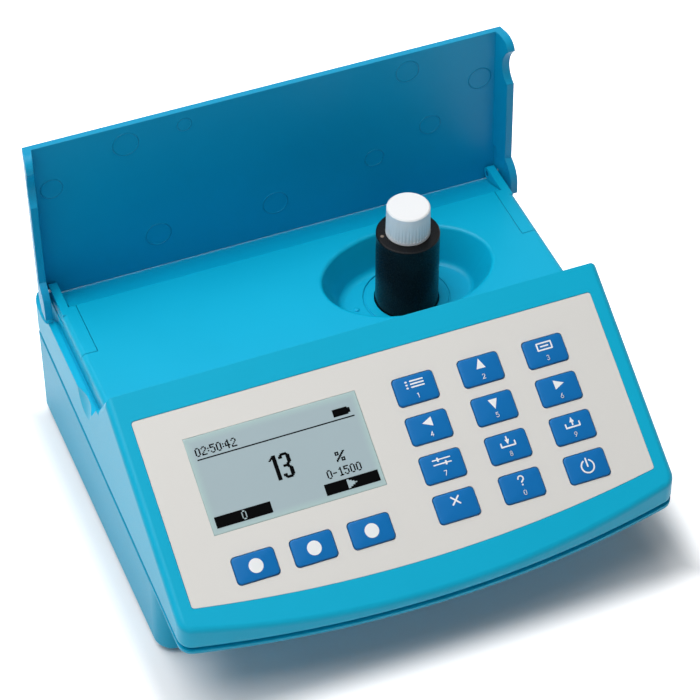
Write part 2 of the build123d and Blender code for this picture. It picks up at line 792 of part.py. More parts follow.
def display_gasket():
    """The foam frame between the panel and the display module."""
    frame = Rectangle(window_width + gasket_width, window_height + gasket_width)
    frame = frame - Rectangle(window_width - gasket_width, window_height - gasket_width)
    return on_panel(window_x, window_s, panel_under - gasket_thickness) * extrude(frame, amount=gasket_thickness)


def display_module():
    """The graphic display, lying on the main board under the window."""
    body = Rectangle(display_width, display_height)
    thickness = panel_under - gasket_thickness - board_top
    module = on_panel(window_x, window_s, board_top) * extrude(body, amount=thickness)
    inset = 2 * (window_seat + display_glass_margin)
    glass = Rectangle(window_width - inset, window_height - inset)
    face_n = panel_under - gasket_thickness
    return module + on_panel(window_x, window_s, face_n) * extrude(glass, amount=window_bottom - part_gap - face_n)


def key(x, s, height):
    """One key: a crowned cap that passes through the label and the panel, and its flange behind them."""
    cap = RectangleRounded(key_width, height, key_corner_radius - key_gap / 2)
    bottom = panel_under - key_flange_gap
    body = on_panel(x, s, bottom) * extrude(cap, amount=key_rise - bottom)
    crown_radius = (key_width ** 2 / 4 + key_crown ** 2) / (2 * key_crown)
    ball = on_panel(x, s, key_rise - crown_radius) * Sphere(crown_radius)
    body = body & ball
    flange = RectangleRounded(key_width + 2 * key_flange, height + 2 * key_flange, key_corner_radius)
    return body + on_panel(x, s, bottom - key_flange_thickness) * extrude(flange, amount=key_flange_thickness)


def key_contact_mat():
    """The silicone mat under all the keys, with a raised contact under each one."""
    faces = []
    margin = key_flange + mat_margin
    rows = 3 * row_pitch + key_height + 2 * margin
    faces.append(Pos(column_x, -(row_s + 1.5 * row_pitch)) * Rectangle(mat_width, rows))
    width = 2 * function_key_pitch + key_width + 2 * margin
    faces.append(Pos(function_key_x, -function_key_s) * Rectangle(width, function_key_height + 2 * margin))
    bridge = Pos((column_x + function_key_x) / 2, -function_key_s) * Rectangle(2 * column_pitch, function_key_height)
    mat = on_panel(0, 0, board_top) * extrude(faces[0] + faces[1] + bridge, amount=mat_thickness)
    for key_name, x, s, height in key_places():
        mat = mat + on_panel(x, s, mat_top) * extrude(Circle(contact_radius), amount=contact_rise)
    return mat


def main_board():
    """The main circuit board behind the panel, with its screw holes and its larger parts."""
    middle_s = (board_top_s + board_bottom_s) / 2
    face = Pos(0, -middle_s) * Rectangle(2 * board_half_width, board_bottom_s - board_top_s)
    for x, s in board_boss_places():
        face = face - Pos(x, -s) * Circle(board_screw_radius + part_gap)
    board = on_panel(0, 0, board_under) * extrude(face, amount=board_thickness)
    for x, s, width, height, thickness in board_chips:
        board = board + on_panel(x, s, board_under - thickness / 2) * Box(width, height, thickness)
    return board


def buzzer():
    """The round buzzer under the main board."""
    ring = Circle(buzzer_radius) - Circle(buzzer_hole_radius)
    can = extrude(ring, amount=-buzzer_height) + extrude(Circle(buzzer_radius), amount=-buzzer_height / 2)
    return on_panel(buzzer_x, buzzer_s, board_under) * can


def cuvette_holder():
    """The black block under the dish: a blind well for the cuvette and a cross bore for the light."""
    bottom, top = holder_bottom_z, dish_under_z - seal_thickness
    block = box_at((well_x - holder_half_x, well_x + holder_half_x), (well_y - holder_half_y, well_y + holder_half_y),
                   (bottom, top))
    tube_end = well_x - holder_half_x - tube_length
    tube = box_at((tube_end, well_x - holder_half_x), (well_y - tube_half, well_y + tube_half),
                  (beam_z - tube_half, beam_z + tube_half))
    ear_top = dish_under_z - holder_post_drop
    for side in (-1, 1):
        x = well_x + side * holder_post_offset
        reach = (well_x + side * (holder_half_x - past), x + side * holder_post_radius)
        ear = box_at(reach, (well_y - holder_post_radius, well_y + holder_post_radius),
                     (ear_top - holder_ear_thickness, ear_top))
        ear = ear - rod((x, well_y, ear_top - holder_ear_thickness - past), (0, 0, 1),
                        board_screw_radius + part_gap, holder_ear_thickness + 2 * past)
        block = block + ear
    block = block + tube
    block = block - rod((well_x, well_y, holder_floor_z), (0, 0, 1), well_bore_radius, top)
    beam_length = tube_length + 2 * (holder_half_x + past)
    block = block - rod((tube_end - past, well_y, beam_z), (1, 0, 0), beam_radius, beam_length)
    port_x = tube_end + splitter_from_end
    return block - rod((port_x, well_y, beam_z), (0, 1, 0), side_port_radius, tube_half + past)


def along_beam(x, radius, length):
    """A round piece on the light's axis that starts at x."""
    return rod((x, well_y, beam_z), (1, 0, 0), radius, length)


def lens(flat_x, bulge_side):
    """A lens whose flat face is at flat_x and whose curved face looks along the light or against it."""
    radius = beam_radius - optic_fit
    rise = lens_thickness - lens_edge
    ball = (radius ** 2 + rise ** 2) / (2 * rise)
    middle = (radius / 2, lens_thickness - ball + sqrt(ball ** 2 - radius ** 2 / 4))
    curve = ThreePointArc((radius, lens_edge), middle, (0, lens_thickness))
    profile = make_face(Polyline((0, lens_thickness), (0, 0), (radius, 0), (radius, lens_edge)) + curve)
    body = revolve(Plane.XZ * profile, Axis.Z)
    return Plane(origin=(flat_x, well_y, beam_z), z_dir=(bulge_side, 0, 0)) * body


def optics():
    """Name and solid of each piece of the light's path, from the lamp to the detector."""
    start = well_x - holder_half_x - tube_length
    end = well_x + holder_half_x
    pieces = {}
    board = box_at((start - board_thickness, start), (well_y - optic_board_half, well_y + optic_board_half),
                   (beam_z - optic_board_half, beam_z + optic_board_half))
    pieces["led_board"] = board
    lamp = along_beam(start, led_radius, led_length - led_radius)
    lamp = lamp + Pos(start + led_length - led_radius, well_y, beam_z) * Sphere(led_radius)
    pieces["led_lamp"] = lamp + along_beam(start, led_radius + led_rim, led_rim_height)
    port_x = start + splitter_from_end + splitter_behind_port
    plate = Box(splitter_thickness, 2 * splitter_half, 2 * splitter_half)
    pieces["beam_splitter"] = Pos(port_x, well_y, beam_z) * Rot(0, 0, 45) * plate
    filter_x = well_x - holder_half_x - filter_thickness - optic_spacing
    pieces["interference_filter"] = along_beam(filter_x, beam_radius - optic_fit, filter_thickness)
    pieces["light_lens"] = lens(filter_x + filter_thickness + optic_spacing, 1)
    pieces["detector_lens"] = lens(end - detector_length - optic_spacing, -1)
    pieces["sample_detector"] = along_beam(end - detector_length, detector_radius, detector_length)
    pieces["detector_board"] = box_at((end, end + board_thickness),
                                      (well_y - optic_board_half, well_y + optic_board_half),
                                      (beam_z - optic_board_half, beam_z + optic_board_half))
    y = well_y + tube_half
    x = start + splitter_from_end
    reference = rod((x, y - detector_length, beam_z), (0, 1, 0), detector_radius, detector_length)
    pieces["reference_detector"] = reference
    pieces["reference_board"] = box_at((x - tube_half, x + tube_half), (y, y + board_thickness),
                                       (beam_z - tube_half, beam_z + tube_half))
    return pieces


def well_seal():
    """The flat ring of foam that keeps light out between the holder and the dish."""
    ring = Circle(well_bore_radius + part_gap + seal_width) - Circle(well_bore_radius + part_gap)
    return Pos(well_x, well_y, dish_under_z - seal_thickness) * extrude(ring, amount=seal_thickness)


def vial_adapter():
    """The black sleeve that stands in the holder and takes the narrower vial."""
    body = rod((well_x, well_y, holder_floor_z), (0, 0, 1), adapter_radius, adapter_top_z - holder_floor_z)
    body = chamfer(body.edges().group_by(Axis.Z)[-1], adapter_chamfer)
    body = body - rod((well_x, well_y, vial_bottom_z), (0, 0, 1), vial_radius + vial_play, adapter_top_z)
    opening = box_at((well_x - adapter_radius - past, well_x + adapter_radius + past),
                     (well_y - adapter_window_width / 2, well_y + adapter_window_width / 2),
                     (beam_z - adapter_window_height / 2, beam_z + adapter_window_height / 2))
    return body - opening


def vial_glass():
    """The glass vial: a round-ended tube with a narrower neck."""
    neck_z = cap_bottom_z - vial_neck_sunk
    outer = rod((well_x, well_y, vial_bottom_z), (0, 0, 1), vial_radius, neck_z - vial_bottom_z)
    outer = fillet(outer.edges().group_by(Axis.Z)[0], vial_foot_radius)
    outer = fillet(outer.edges().group_by(Axis.Z)[-1], vial_shoulder_radius)
    outer = outer + rod((well_x, well_y, neck_z - past), (0, 0, 1), vial_neck_radius, vial_neck_length)
    shoulder_z = neck_z - vial_wall
    inner = rod((well_x, well_y, vial_bottom_z + vial_wall), (0, 0, 1), vial_radius - vial_wall,
                shoulder_z - vial_bottom_z - vial_wall)
    inner = fillet(inner.edges().group_by(Axis.Z)[0], vial_inner_foot_radius)
    inner = inner + rod((well_x, well_y, shoulder_z - past), (0, 0, 1), vial_neck_radius - vial_wall, vial_neck_length + far)
    return outer - inner


def sample_liquid():
    """The sample that fills the vial to its level."""
    bottom = vial_bottom_z + vial_wall
    body = rod((well_x, well_y, bottom), (0, 0, 1), vial_radius - vial_wall - optic_fit, sample_level_z - bottom)
    return fillet(body.edges().group_by(Axis.Z)[0], vial_inner_foot_radius + sample_foot_extra)


def vial_cap():
    """The ribbed screw cap, hollow over the vial's neck."""
    low = Pos(0, 0, cap_bottom_z) * Circle(cap_foot_radius)
    high = Pos(0, 0, cap_bottom_z + cap_height) * Circle(cap_radius)
    body = loft([low.face(), high.face()])
    body = chamfer(body.edges().group_by(Axis.Z)[-1], cap_chamfer)
    groove_x = cap_foot_radius + cap_rib_radius - cap_rib_depth
    groove_length = cap_height - cap_rib_foot - cap_rib_head
    groove = Pos(groove_x, 0, cap_bottom_z + cap_rib_foot) * extrude(Circle(cap_rib_radius), amount=groove_length)
    for number in range(cap_rib_count):
        body = body - Rot(0, 0, number * 360 / cap_rib_count) * groove
    space = Circle(vial_neck_radius + cap_thread_gap)
    inside = Pos(0, 0, cap_bottom_z - past) * extrude(space, amount=cap_height - cap_top_thickness + past)
    return Pos(well_x, well_y, 0) * (body - inside)


def battery_pack():
    """The rechargeable pack in its tray."""
    middle_z = case_floor + battery_height / 2
    pack = Pos(battery_x, battery_y, middle_z) * Box(battery_width, battery_depth, battery_height)
    return fillet(pack.edges(), battery_edge_radius)


def battery_strap():
    """The strap that is screwed down over the pack."""
    reach = strap_screw_xs()
    top = case_floor + battery_height
    strap = box_at((reach[0] - board_boss_radius, reach[1] + board_boss_radius),
                   (battery_y - strap_width / 2, battery_y + strap_width / 2), (top, top + strap_thickness))
    for x in reach:
        hole = rod((x, battery_y, top - past), (0, 0, 1), board_screw_radius + part_gap, strap_thickness + 2 * past)
        strap = strap - hole
    return strap


def rear_board():
    """The board that carries the rear sockets."""
    board = box_at((rear_board_x - rear_board_width / 2, rear_board_x + rear_board_width / 2),
                   (rear_board_front_y, rear_board_front_y + rear_board_depth), (rear_board_z, rear_board_top))
    for x, y in rear_board_screws():
        hole = rod((x, y, rear_board_z - past), (0, 0, 1), board_screw_radius + part_gap, board_thickness + 2 * past)
        board = board - hole
    return board


def usb_socket():
    """The host socket: a thin metal shell, open to the back, round a tongue."""
    z = rear_board_top + usb_height / 2
    front = rear_y - usb_depth
    shell = box_at((usb_x - usb_width / 2, usb_x + usb_width / 2), (front, rear_y),
                   (z - usb_height / 2, z + usb_height / 2))
    inner_side = usb_width / 2 - usb_shell
    inner_rise = usb_height / 2 - usb_shell
    inside = box_at((usb_x - inner_side, usb_x + inner_side), (front + usb_back, rear_y + past),
                    (z - inner_rise, z + inner_rise))
    return shell - inside


def usb_tongue():
    """The plastic tongue inside the host socket."""
    top = rear_board_top + usb_height - usb_shell - usb_tongue_gap
    side = usb_width / 2 - usb_shell - usb_tongue_gap
    return box_at((usb_x - side, usb_x + side), (rear_y - usb_depth + usb_back, rear_y - usb_tongue_inset),
                  (top - usb_tongue_height, top))


def charge_socket():
    """The small charging socket."""
    bottom = rear_board_top
    top = bottom + charge_height
    side = charge_width / 2
    back = rear_y - charge_inset
    shell = box_at((charge_x - side, charge_x + side), (back - charge_depth, back), (bottom, top))
    shell = chamfer([edge for edge in shell.edges().filter_by(Axis.Y) if edge.center().Z < top - charge_chamfer],
                    charge_chamfer)
    inner_side = side - charge_side_wall
    inside = box_at((charge_x - inner_side, charge_x + inner_side), (back - charge_depth + charge_back, rear_y),
                    (bottom + charge_floor_wall, top - charge_roof_wall))
    return shell - inside


def electrode_jack():
    """The round socket for a probe's plug, with its nose in the rear wall."""
    z = rear_board_top + jack_block / 2
    back = rear_y - wall - jack_wall_gap
    block = box_at((jack_x - jack_block / 2, jack_x + jack_block / 2), (rear_y - wall - jack_depth, back),
                   (rear_board_top, rear_board_top + jack_block))
    nose = rod((jack_x, back - past, z), (0, 1, 0), jack_nose_radius, rear_y - back + past)
    bore = rod((jack_x, rear_y - jack_bore_length, z), (0, 1, 0), jack_bore_radius, jack_bore_length + past)
    return block + nose - bore


def case_screws():
    """The four screws that hold the housings together, driven from below."""
    screws = []
    for x, y in case_screw_places():
        z = case_head_z(y)
        shank = rod((x, y, z), (0, 0, 1), case_screw_radius - optic_fit, case_screw_length)
        head = rod((x, y, z), (0, 0, -1), case_head_radius - part_gap, case_head_height)
        screws.append(head + shank)
    return Part() + screws


def small_screw(start, direction, reach):
    """A small screw: its head outside start, its shank along the direction."""
    head = rod(start, tuple(-part for part in direction), board_screw_radius + small_head_rim, small_head_height)
    return head + rod(start, direction, board_screw_radius - optic_fit, reach)


def board_screws():
    """The screws of the main board, the rear board, the battery strap and the holder's ears."""
    normal = (0, -sin(slope), cos(slope))
    screws = []
    for x, s in board_boss_places():
        start = on_panel(x, s, board_under).position
        screws.append(small_screw(tuple(start), normal, board_thickness + board_screw_bite))
    for x, y in rear_board_screws():
        screws.append(small_screw((x, y, rear_board_top), (0, 0, -1), board_thickness + rear_board_screw_bite))
    for x in strap_screw_xs():
        top = case_floor + battery_height + strap_thickness
        screws.append(small_screw((x, battery_y, top), (0, 0, -1), strap_thickness + strap_screw_bite))
    for side in (-1, 1):
        x = well_x + side * holder_post_offset
        bottom = dish_under_z - holder_post_drop - holder_ear_thickness
        screws.append(small_screw((x, well_y, bottom), (0, 0, 1), holder_ear_thickness + ear_screw_bite))
    return Part() + screws


def hinge_screws():
    """The screws that hold the hinge brackets, driven from inside the housing."""
    screws = []
    skin = slot_floor_z - wall
    for side in (-1, 1):
        for y in hinge_screw_ys():
            start = (side * hinge_screw_x(), y, skin)
            screws.append(small_screw(start, (0, 0, 1), deck_z - hinge_screw_cover - skin))
    return Part() + screws


def rubber_feet():
    """The four feet, pressed into their recesses."""
    feet = []
    for x, y in foot_places():
        foot = rod((x, y, 0), (0, 0, 1), foot_radius, foot_height + foot_recess)
        foot = chamfer(foot.edges().group_by(Axis.Z)[0], foot_chamfer)
        feet.append(foot)
    return Part() + feet


def flat_cable():
    """The flat cable from the main board to the rear board, with a low plug at each end."""
    start = on_panel(cable_x, cable_s, board_under - plug_height).position
    end = (rear_board_front_y + plug_depth / 2 + plug_from_edge, rear_board_top + plug_height)
    points = [(start.Y, start.Z), (start.Y + cable_lean, start.Z - cable_drop),
              (rear_board_front_y + cable_low_y, cable_low_z), (end[0], end[1] + cable_drop), end]
    profile = trace(FilletPolyline(*points, radius=cable_bend_radius), cable_thickness)
    cable = extrude(Plane.YZ.offset(cable_x) * profile, amount=cable_width / 2, both=True)
    plug = Box(cable_width + 2 * plug_rim, plug_depth, plug_height)
    upper_plug = on_panel(cable_x, cable_s, board_under - plug_height / 2) * plug
    return cable + upper_plug + Pos(cable_x, end[0], rear_board_top + plug_height / 2) * plug


upper_outside_solid = upper_outside()

parts = {
    "upper_housing": upper_housing(),
    "lower_housing": lower_housing(),
    "lid": opened(shut_lid()),
    "hinge_bracket_right": hinge_bracket(),
    "hinge_bracket_left": mirror(hinge_bracket(), about=Plane.YZ),
    "hinge_pin_right": hinge_pin(1),
    "hinge_pin_left": hinge_pin(-1),
    "keypad_label": keypad_label(),
    "display_window": display_window(),
    "display_gasket": display_gasket(),
    "display_module": display_module(),
    "key_contact_mat": key_contact_mat(),
    "main_board": main_board(),
    "buzzer": buzzer(),
    "board_screws": board_screws(),
    "hinge_screws": hinge_screws(),
    "case_screws": case_screws(),
    "rubber_feet": rubber_feet(),
    "cuvette_holder": cuvette_holder(),
    "well_seal": well_seal(),
    "vial_adapter": vial_adapter(),
    "vial_glass": vial_glass(),
    "sample_liquid": sample_liquid(),
    "vial_cap": vial_cap(),
    "battery_pack": battery_pack(),
    "battery_strap": battery_strap(),
    "rear_board": rear_board(),
    "usb_socket": usb_socket(),
    "usb_tongue": usb_tongue(),
    "charge_socket": charge_socket(),
    "electrode_jack": electrode_jack(),
    "flat_cable": flat_cable(),
}
parts.update(optics())
for name, x, s, height in key_places():
    parts[name] = key(x, s, height)

os.makedirs("parts", exist_ok=True)
for name, solid in parts.items():
    export_step(Pos(0, -middle_y, 0) * solid, f"parts/{name}.step")
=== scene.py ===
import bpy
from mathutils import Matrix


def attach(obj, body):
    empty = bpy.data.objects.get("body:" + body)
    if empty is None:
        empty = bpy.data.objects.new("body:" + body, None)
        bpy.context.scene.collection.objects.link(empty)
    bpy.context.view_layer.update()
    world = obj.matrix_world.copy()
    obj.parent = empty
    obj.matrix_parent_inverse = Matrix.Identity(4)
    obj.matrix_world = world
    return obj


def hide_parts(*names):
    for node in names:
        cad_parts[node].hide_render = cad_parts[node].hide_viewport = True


bl_info = {
    "name": "Bench photometer",
    "version": (1, 0, 0),
    "blender": (4, 5, 0),
    "location": "3D View > Sidebar > Photometer",
    "description": "Dresses a bench photometer with its keys, display, markings and finishes",
    "category": "Object",
}

from math import atan2, ceil, cos, hypot, pi, radians, sin, sqrt

import bmesh
import bpy
from mathutils import Matrix, Vector

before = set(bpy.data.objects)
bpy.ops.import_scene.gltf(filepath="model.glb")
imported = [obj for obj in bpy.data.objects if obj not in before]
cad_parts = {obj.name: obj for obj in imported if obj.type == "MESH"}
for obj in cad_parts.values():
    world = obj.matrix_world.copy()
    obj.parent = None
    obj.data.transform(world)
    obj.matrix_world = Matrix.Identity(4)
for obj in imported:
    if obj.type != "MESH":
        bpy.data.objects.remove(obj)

# Lengths are in millimetres, unless a comment says metres
MM = 0.001

# The sloping panel in the shared frame: x across, s down the slope from the ridge, n out of its surface
PANEL_SLOPE = radians(30.75)
PANEL_TOP = Vector((0.0, -2.75, 94.9))
DOWN_SLOPE = Vector((0.0, -cos(PANEL_SLOPE), -sin(PANEL_SLOPE)))
PANEL_NORMAL = Vector((0.0, -sin(PANEL_SLOPE), cos(PANEL_SLOPE)))

# Making meshes

WELD_DISTANCE_IN_METRES = 1e-7
CORNER_STEPS = 6
LEAST_CORNER = 1e-3
LEAST_STRAIGHT = 1e-4
PRINT_THICKNESS = 0.03
STROKE_STEP = 1.5
PEN_END_STEPS = 6


def on_panel(x, s, n=0.0):
    """A point on the sloping panel, in metres."""
    return (PANEL_TOP + Vector((x, 0, 0)) + DOWN_SLOPE * s + PANEL_NORMAL * n) * MM


def new_piece(name, verts, faces, material, smooth=True):
    """A mesh piece from points in metres."""
    mesh = bpy.data.meshes.new(name)
    mesh.from_pydata([tuple(v) for v in verts], [], faces)
    mesh.validate()
    mesh.update()
    piece = bpy.data.objects.new(name, mesh)
    bpy.context.scene.collection.objects.link(piece)
    bm = bmesh.new()
    bm.from_mesh(mesh)
    bmesh.ops.remove_doubles(bm, verts=bm.verts, dist=WELD_DISTANCE_IN_METRES)
    bmesh.ops.recalc_face_normals(bm, faces=bm.faces)
    bm.to_mesh(mesh)
    bm.free()
    for polygon in mesh.polygons:
        polygon.use_smooth = smooth
    mesh.materials.append(material)
    return piece


def rounded_outline(width, height, corner):
    """Points of a rounded rectangle round the origin, anticlockwise."""
    corner = max(min(corner, width / 2 - LEAST_STRAIGHT, height / 2 - LEAST_STRAIGHT), LEAST_CORNER)
    points = []
    for side, end, start in ((1, 1, 0), (-1, 1, 90), (-1, -1, 180), (1, -1, 270)):
        for step in range(CORNER_STEPS + 1):
            turn = radians(start + 90 * step / CORNER_STEPS)
            points.append((side * (width / 2 - corner) + corner * cos(turn),
                           end * (height / 2 - corner) + corner * sin(turn)))
    return points


def circle_outline(radius, steps):
    """Points of a circle round the origin."""
    return [(radius * cos(2 * pi * k / steps), radius * sin(2 * pi * k / steps)) for k in range(steps)]


def loft_rings(rings):
    """Verts and faces of a closed body through rings of equally many points."""
    verts = [point for ring in rings for point in ring]
    count = len(rings[0])
    faces = []
    for start in range(0, len(verts) - count, count):
        for i in range(count):
            a = start + i
            b = start + (i + 1) % count
            faces.append((a, b, b + count, a + count))
    faces.append(tuple(range(count))[::-1])
    faces.append(tuple(range(len(verts) - count, len(verts))))
    return verts, faces


def thin_plates(outlines, place):
    """Verts and faces of flat print. Outlines are closed loops of (u, v), and place maps them into space."""
    verts, faces = [], []
    for loop in outlines:
        base = len(verts)
        count = len(loop)
        verts.extend(place(u, v, 0.0) for u, v in loop)
        verts.extend(place(u, v, PRINT_THICKNESS) for u, v in loop)
        faces.append(tuple(base + i for i in range(count))[::-1])
        faces.append(tuple(base + count + i for i in range(count)))
        for i in range(count):
            j = (i + 1) % count
            faces.append((base + i, base + j, base + count + j, base + count + i))
    return verts, faces


def stroke(points, width, closed=False):
    """Outlines of short round-ended plates that draw a line and can follow a curved surface."""
    corners = list(points) + ([points[0]] if closed else [])
    pairs = []
    for (x0, y0), (x1, y1) in zip(corners, corners[1:]):
        count = max(1, ceil(hypot(x1 - x0, y1 - y0) / STROKE_STEP))
        steps = [(x0 + (x1 - x0) * k / count, y0 + (y1 - y0) * k / count) for k in range(count + 1)]
        pairs += zip(steps, steps[1:])
    loops = []
    for (x0, y0), (x1, y1) in pairs:
        side = atan2(x1 - x0, y0 - y1)
        loop = []
        for x, y, start in ((x0, y0, side), (x1, y1, side + pi)):
            for k in range(PEN_END_STEPS + 1):
                turn = start + pi * k / PEN_END_STEPS
                loop.append((x + width / 2 * cos(turn), y + width / 2 * sin(turn)))
        loops.append(loop)
    return loops


# Making materials

CLOUD_SCALE = 28.0
CLOUD_DETAIL = 4.0
CLOUD_LIFT = 0.002
GRAIN_SCALE = 1000.0
GRAIN_DETAIL = 3.0
GRAIN_DEPTH = 0.25
GLOSS_SPREAD = 0.06
LEAST_ROUGHNESS = 0.02
EDGE_SAMPLES = 4
STREAK_SCALE = 120.0
STREAK_DETAIL = 2.0
STREAK_SPREAD = 0.03

# Places of the share, the two colours and the result among a Mix node's sockets
MIX_SHARE = 0
MIX_FIRST = 6
MIX_SECOND = 7
MIX_RESULT = 2


def new_material(name):
    """A material, its node tree and its shader."""
    material = bpy.data.materials.new(name)
    material.use_nodes = True
    tree = material.node_tree
    return material, tree, tree.nodes["Principled BSDF"]


def feed(tree, socket, value):
    """Link an output to a socket, or set the socket to a fixed value."""
    if isinstance(value, bpy.types.NodeSocket):
        tree.links.new(value, socket)
    else:
        socket.default_value = value


def worked_out(tree, operation, first, second=0.0, clamp=False):
    """The result of a Math node on outputs or numbers."""
    node = tree.nodes.new("ShaderNodeMath")
    node.operation = operation
    node.use_clamp = clamp
    feed(tree, node.inputs[0], first)
    feed(tree, node.inputs[1], second)
    return node.outputs[0]


def map_range(tree, value, source=(0.0, 1.0), target=(0.0, 1.0), smooth=False):
    """A value carried over from one range to another."""
    node = tree.nodes.new("ShaderNodeMapRange")
    node.interpolation_type = "SMOOTHSTEP" if smooth else "LINEAR"
    for name, number in zip(("From Min", "From Max", "To Min", "To Max"), source + target):
        node.inputs[name].default_value = number
    tree.links.new(value, node.inputs["Value"])
    return node.outputs["Result"]


def noise(tree, scale, detail):
    """A noise that stays fixed to the object."""
    place = tree.nodes.new("ShaderNodeTexCoord")
    cloud = tree.nodes.new("ShaderNodeTexNoise")
    cloud.inputs["Scale"].default_value = scale
    cloud.inputs["Detail"].default_value = detail
    tree.links.new(place.outputs["Object"], cloud.inputs["Vector"])
    return cloud.outputs["Fac"]


def mixed(tree, share, first, second):
    """A colour between two others."""
    node = tree.nodes.new("ShaderNodeMix")
    node.data_type = "RGBA"
    feed(tree, node.inputs[MIX_SHARE], share)
    feed(tree, node.inputs[MIX_FIRST], first)
    feed(tree, node.inputs[MIX_SECOND], second)
    return node.outputs[MIX_RESULT]


def plastic(name, colour, roughness, grain, grain_size=0.5, spread=0.04, specular=0.5, metallic=0.0,
            sheen=0.0, edge=0.0):
    """A moulded or coated surface: faint cloudy colour, uneven gloss, a fine grain and softened edges."""
    material, tree, shader = new_material(name)
    dark = (*(c * (1 - spread) for c in colour), 1)
    light = (*(min(c * (1 + spread) + CLOUD_LIFT, 1.0) for c in colour), 1)
    tint = mixed(tree, noise(tree, CLOUD_SCALE, CLOUD_DETAIL), dark, light)
    tree.links.new(tint, shader.inputs["Base Color"])
    fine = noise(tree, GRAIN_SCALE / grain_size, GRAIN_DETAIL)
    glossy = max(roughness - GLOSS_SPREAD, LEAST_ROUGHNESS)
    gloss = map_range(tree, fine, target=(glossy, roughness + GLOSS_SPREAD))
    tree.links.new(gloss, shader.inputs["Roughness"])
    bump = tree.nodes.new("ShaderNodeBump")
    bump.inputs["Strength"].default_value = grain
    bump.inputs["Distance"].default_value = grain_size * MM * GRAIN_DEPTH
    tree.links.new(fine, bump.inputs["Height"])
    if edge:
        soften = tree.nodes.new("ShaderNodeBevel")
        soften.samples = EDGE_SAMPLES
        soften.inputs["Radius"].default_value = edge * MM
        tree.links.new(soften.outputs["Normal"], bump.inputs["Normal"])
    tree.links.new(bump.outputs["Normal"], shader.inputs["Normal"])
    shader.inputs["Specular IOR Level"].default_value = specular
    shader.inputs["Metallic"].default_value = metallic
    shader.inputs["Sheen Weight"].default_value = sheen
    return material


def clear(name, tint, ior):
    """Clear glass or liquid with faint streaks in its polish."""
    material, tree, shader = new_material(name)
    streak = noise(tree, STREAK_SCALE, STREAK_DETAIL)
    gloss = map_range(tree, streak, target=(LEAST_ROUGHNESS, LEAST_ROUGHNESS + STREAK_SPREAD))
    tree.links.new(gloss, shader.inputs["Roughness"])
    shader.inputs["Base Color"].default_value = (*tint, 1)
    shader.inputs["Transmission Weight"].default_value = 1.0
    shader.inputs["IOR"].default_value = ior
    return material


# Finishes

# The finishes whose colour is a setting in the sidebar. The lid's colour is a darker, bluer copy of the
# housing's, which is the same plastic: painted shade and painted blue bounce light of its inner face
CHOSEN_COLOURS = {
    "blue_housing": "housing_colour", "blue_lid": "shaded_lid_colour", "blue_base": "base_colour",
    "blue_key": "key_colour", "grey_label": "label_colour",
}
OPAQUE_FINISHES = {
    "blue_housing": dict(roughness=0.38, grain=0.10, grain_size=0.45, specular=0.2, edge=0.5),
    # The lid is the housing's plastic; its darker, bluer colour is painted shade and painted blue bounce
    # light
    "blue_lid": dict(roughness=0.38, grain=0.10, grain_size=0.45, specular=0.25, edge=0.5),
    "blue_base": dict(roughness=0.40, grain=0.12, grain_size=0.45, specular=0.22, edge=0.5),
    "blue_key": dict(roughness=0.38, grain=0.08, grain_size=0.25, specular=0.2),
    "grey_label": dict(roughness=0.45, grain=0.10, grain_size=0.2, spread=0.015),
    "white_print": dict(colour=(0.85, 0.87, 0.88), roughness=0.5, grain=0.03, grain_size=0.2),
    "black_sleeve": dict(colour=(0.006, 0.006, 0.007), roughness=0.27, grain=0.06, grain_size=0.3,
                         specular=0.14, edge=0.3),
    "black_plastic": dict(colour=(0.012, 0.012, 0.013), roughness=0.5, grain=0.15, grain_size=0.4),
    "black_foam": dict(colour=(0.02, 0.02, 0.02), roughness=0.9, grain=0.6, grain_size=0.6),
    "white_cap": dict(colour=(0.84, 0.85, 0.86), roughness=0.42, grain=0.06, grain_size=0.4, spread=0.01),
    "display_screen": dict(colour=(0.38, 0.49, 0.53), roughness=0.12, grain=0.01, grain_size=0.3,
                           spread=0.02),
    "display_glass": dict(colour=(0.30, 0.38, 0.40), roughness=0.15, grain=0.02, grain_size=0.3),
    "display_ink": dict(colour=(0.0010, 0.0012, 0.0016), roughness=0.3, grain=0.02, grain_size=0.3,
                        specular=0.02),
    "grey_silicone": dict(colour=(0.30, 0.31, 0.33), roughness=0.6, grain=0.1),
    "green_board": dict(colour=(0.015, 0.16, 0.06), roughness=0.35, grain=0.2, grain_size=1.2, spread=0.3),
    "strap_steel": dict(colour=(0.55, 0.55, 0.56), roughness=0.35, grain=0.1, metallic=1.0),
    "shell_steel": dict(colour=(0.62, 0.62, 0.63), roughness=0.28, grain=0.05, metallic=1.0),
    "pin_steel": dict(colour=(0.60, 0.60, 0.61), roughness=0.22, grain=0.05, metallic=1.0),
    "screw_steel": dict(colour=(0.50, 0.50, 0.51), roughness=0.3, grain=0.08, metallic=1.0),
    "white_tongue": dict(colour=(0.75, 0.75, 0.75), roughness=0.45, grain=0.05),
    "grey_cable": dict(colour=(0.40, 0.41, 0.43), roughness=0.5, grain=0.1),
    "foot_rubber": dict(colour=(0.02, 0.02, 0.02), roughness=0.8, grain=0.4, sheen=0.1),
    "battery_wrap": dict(colour=(0.04, 0.16, 0.40), roughness=0.25, grain=0.1, grain_size=2.0),
    "filter_mirror": dict(colour=(0.45, 0.35, 0.70), roughness=0.08, grain=0.0, metallic=1.0),
    "dark_sensor": dict(colour=(0.02, 0.012, 0.012), roughness=0.15, grain=0.0),
    "brown_dot": dict(colour=(0.17, 0.13, 0.10), roughness=0.5, grain=0.05, grain_size=0.3),
}
CLEAR_FINISHES = {
    "clear_glass": dict(tint=(0.86, 0.92, 0.92), ior=1.47),
    "sample": dict(tint=(0.95, 0.80, 0.86), ior=1.33),
}
MADE_FINISHES = {}

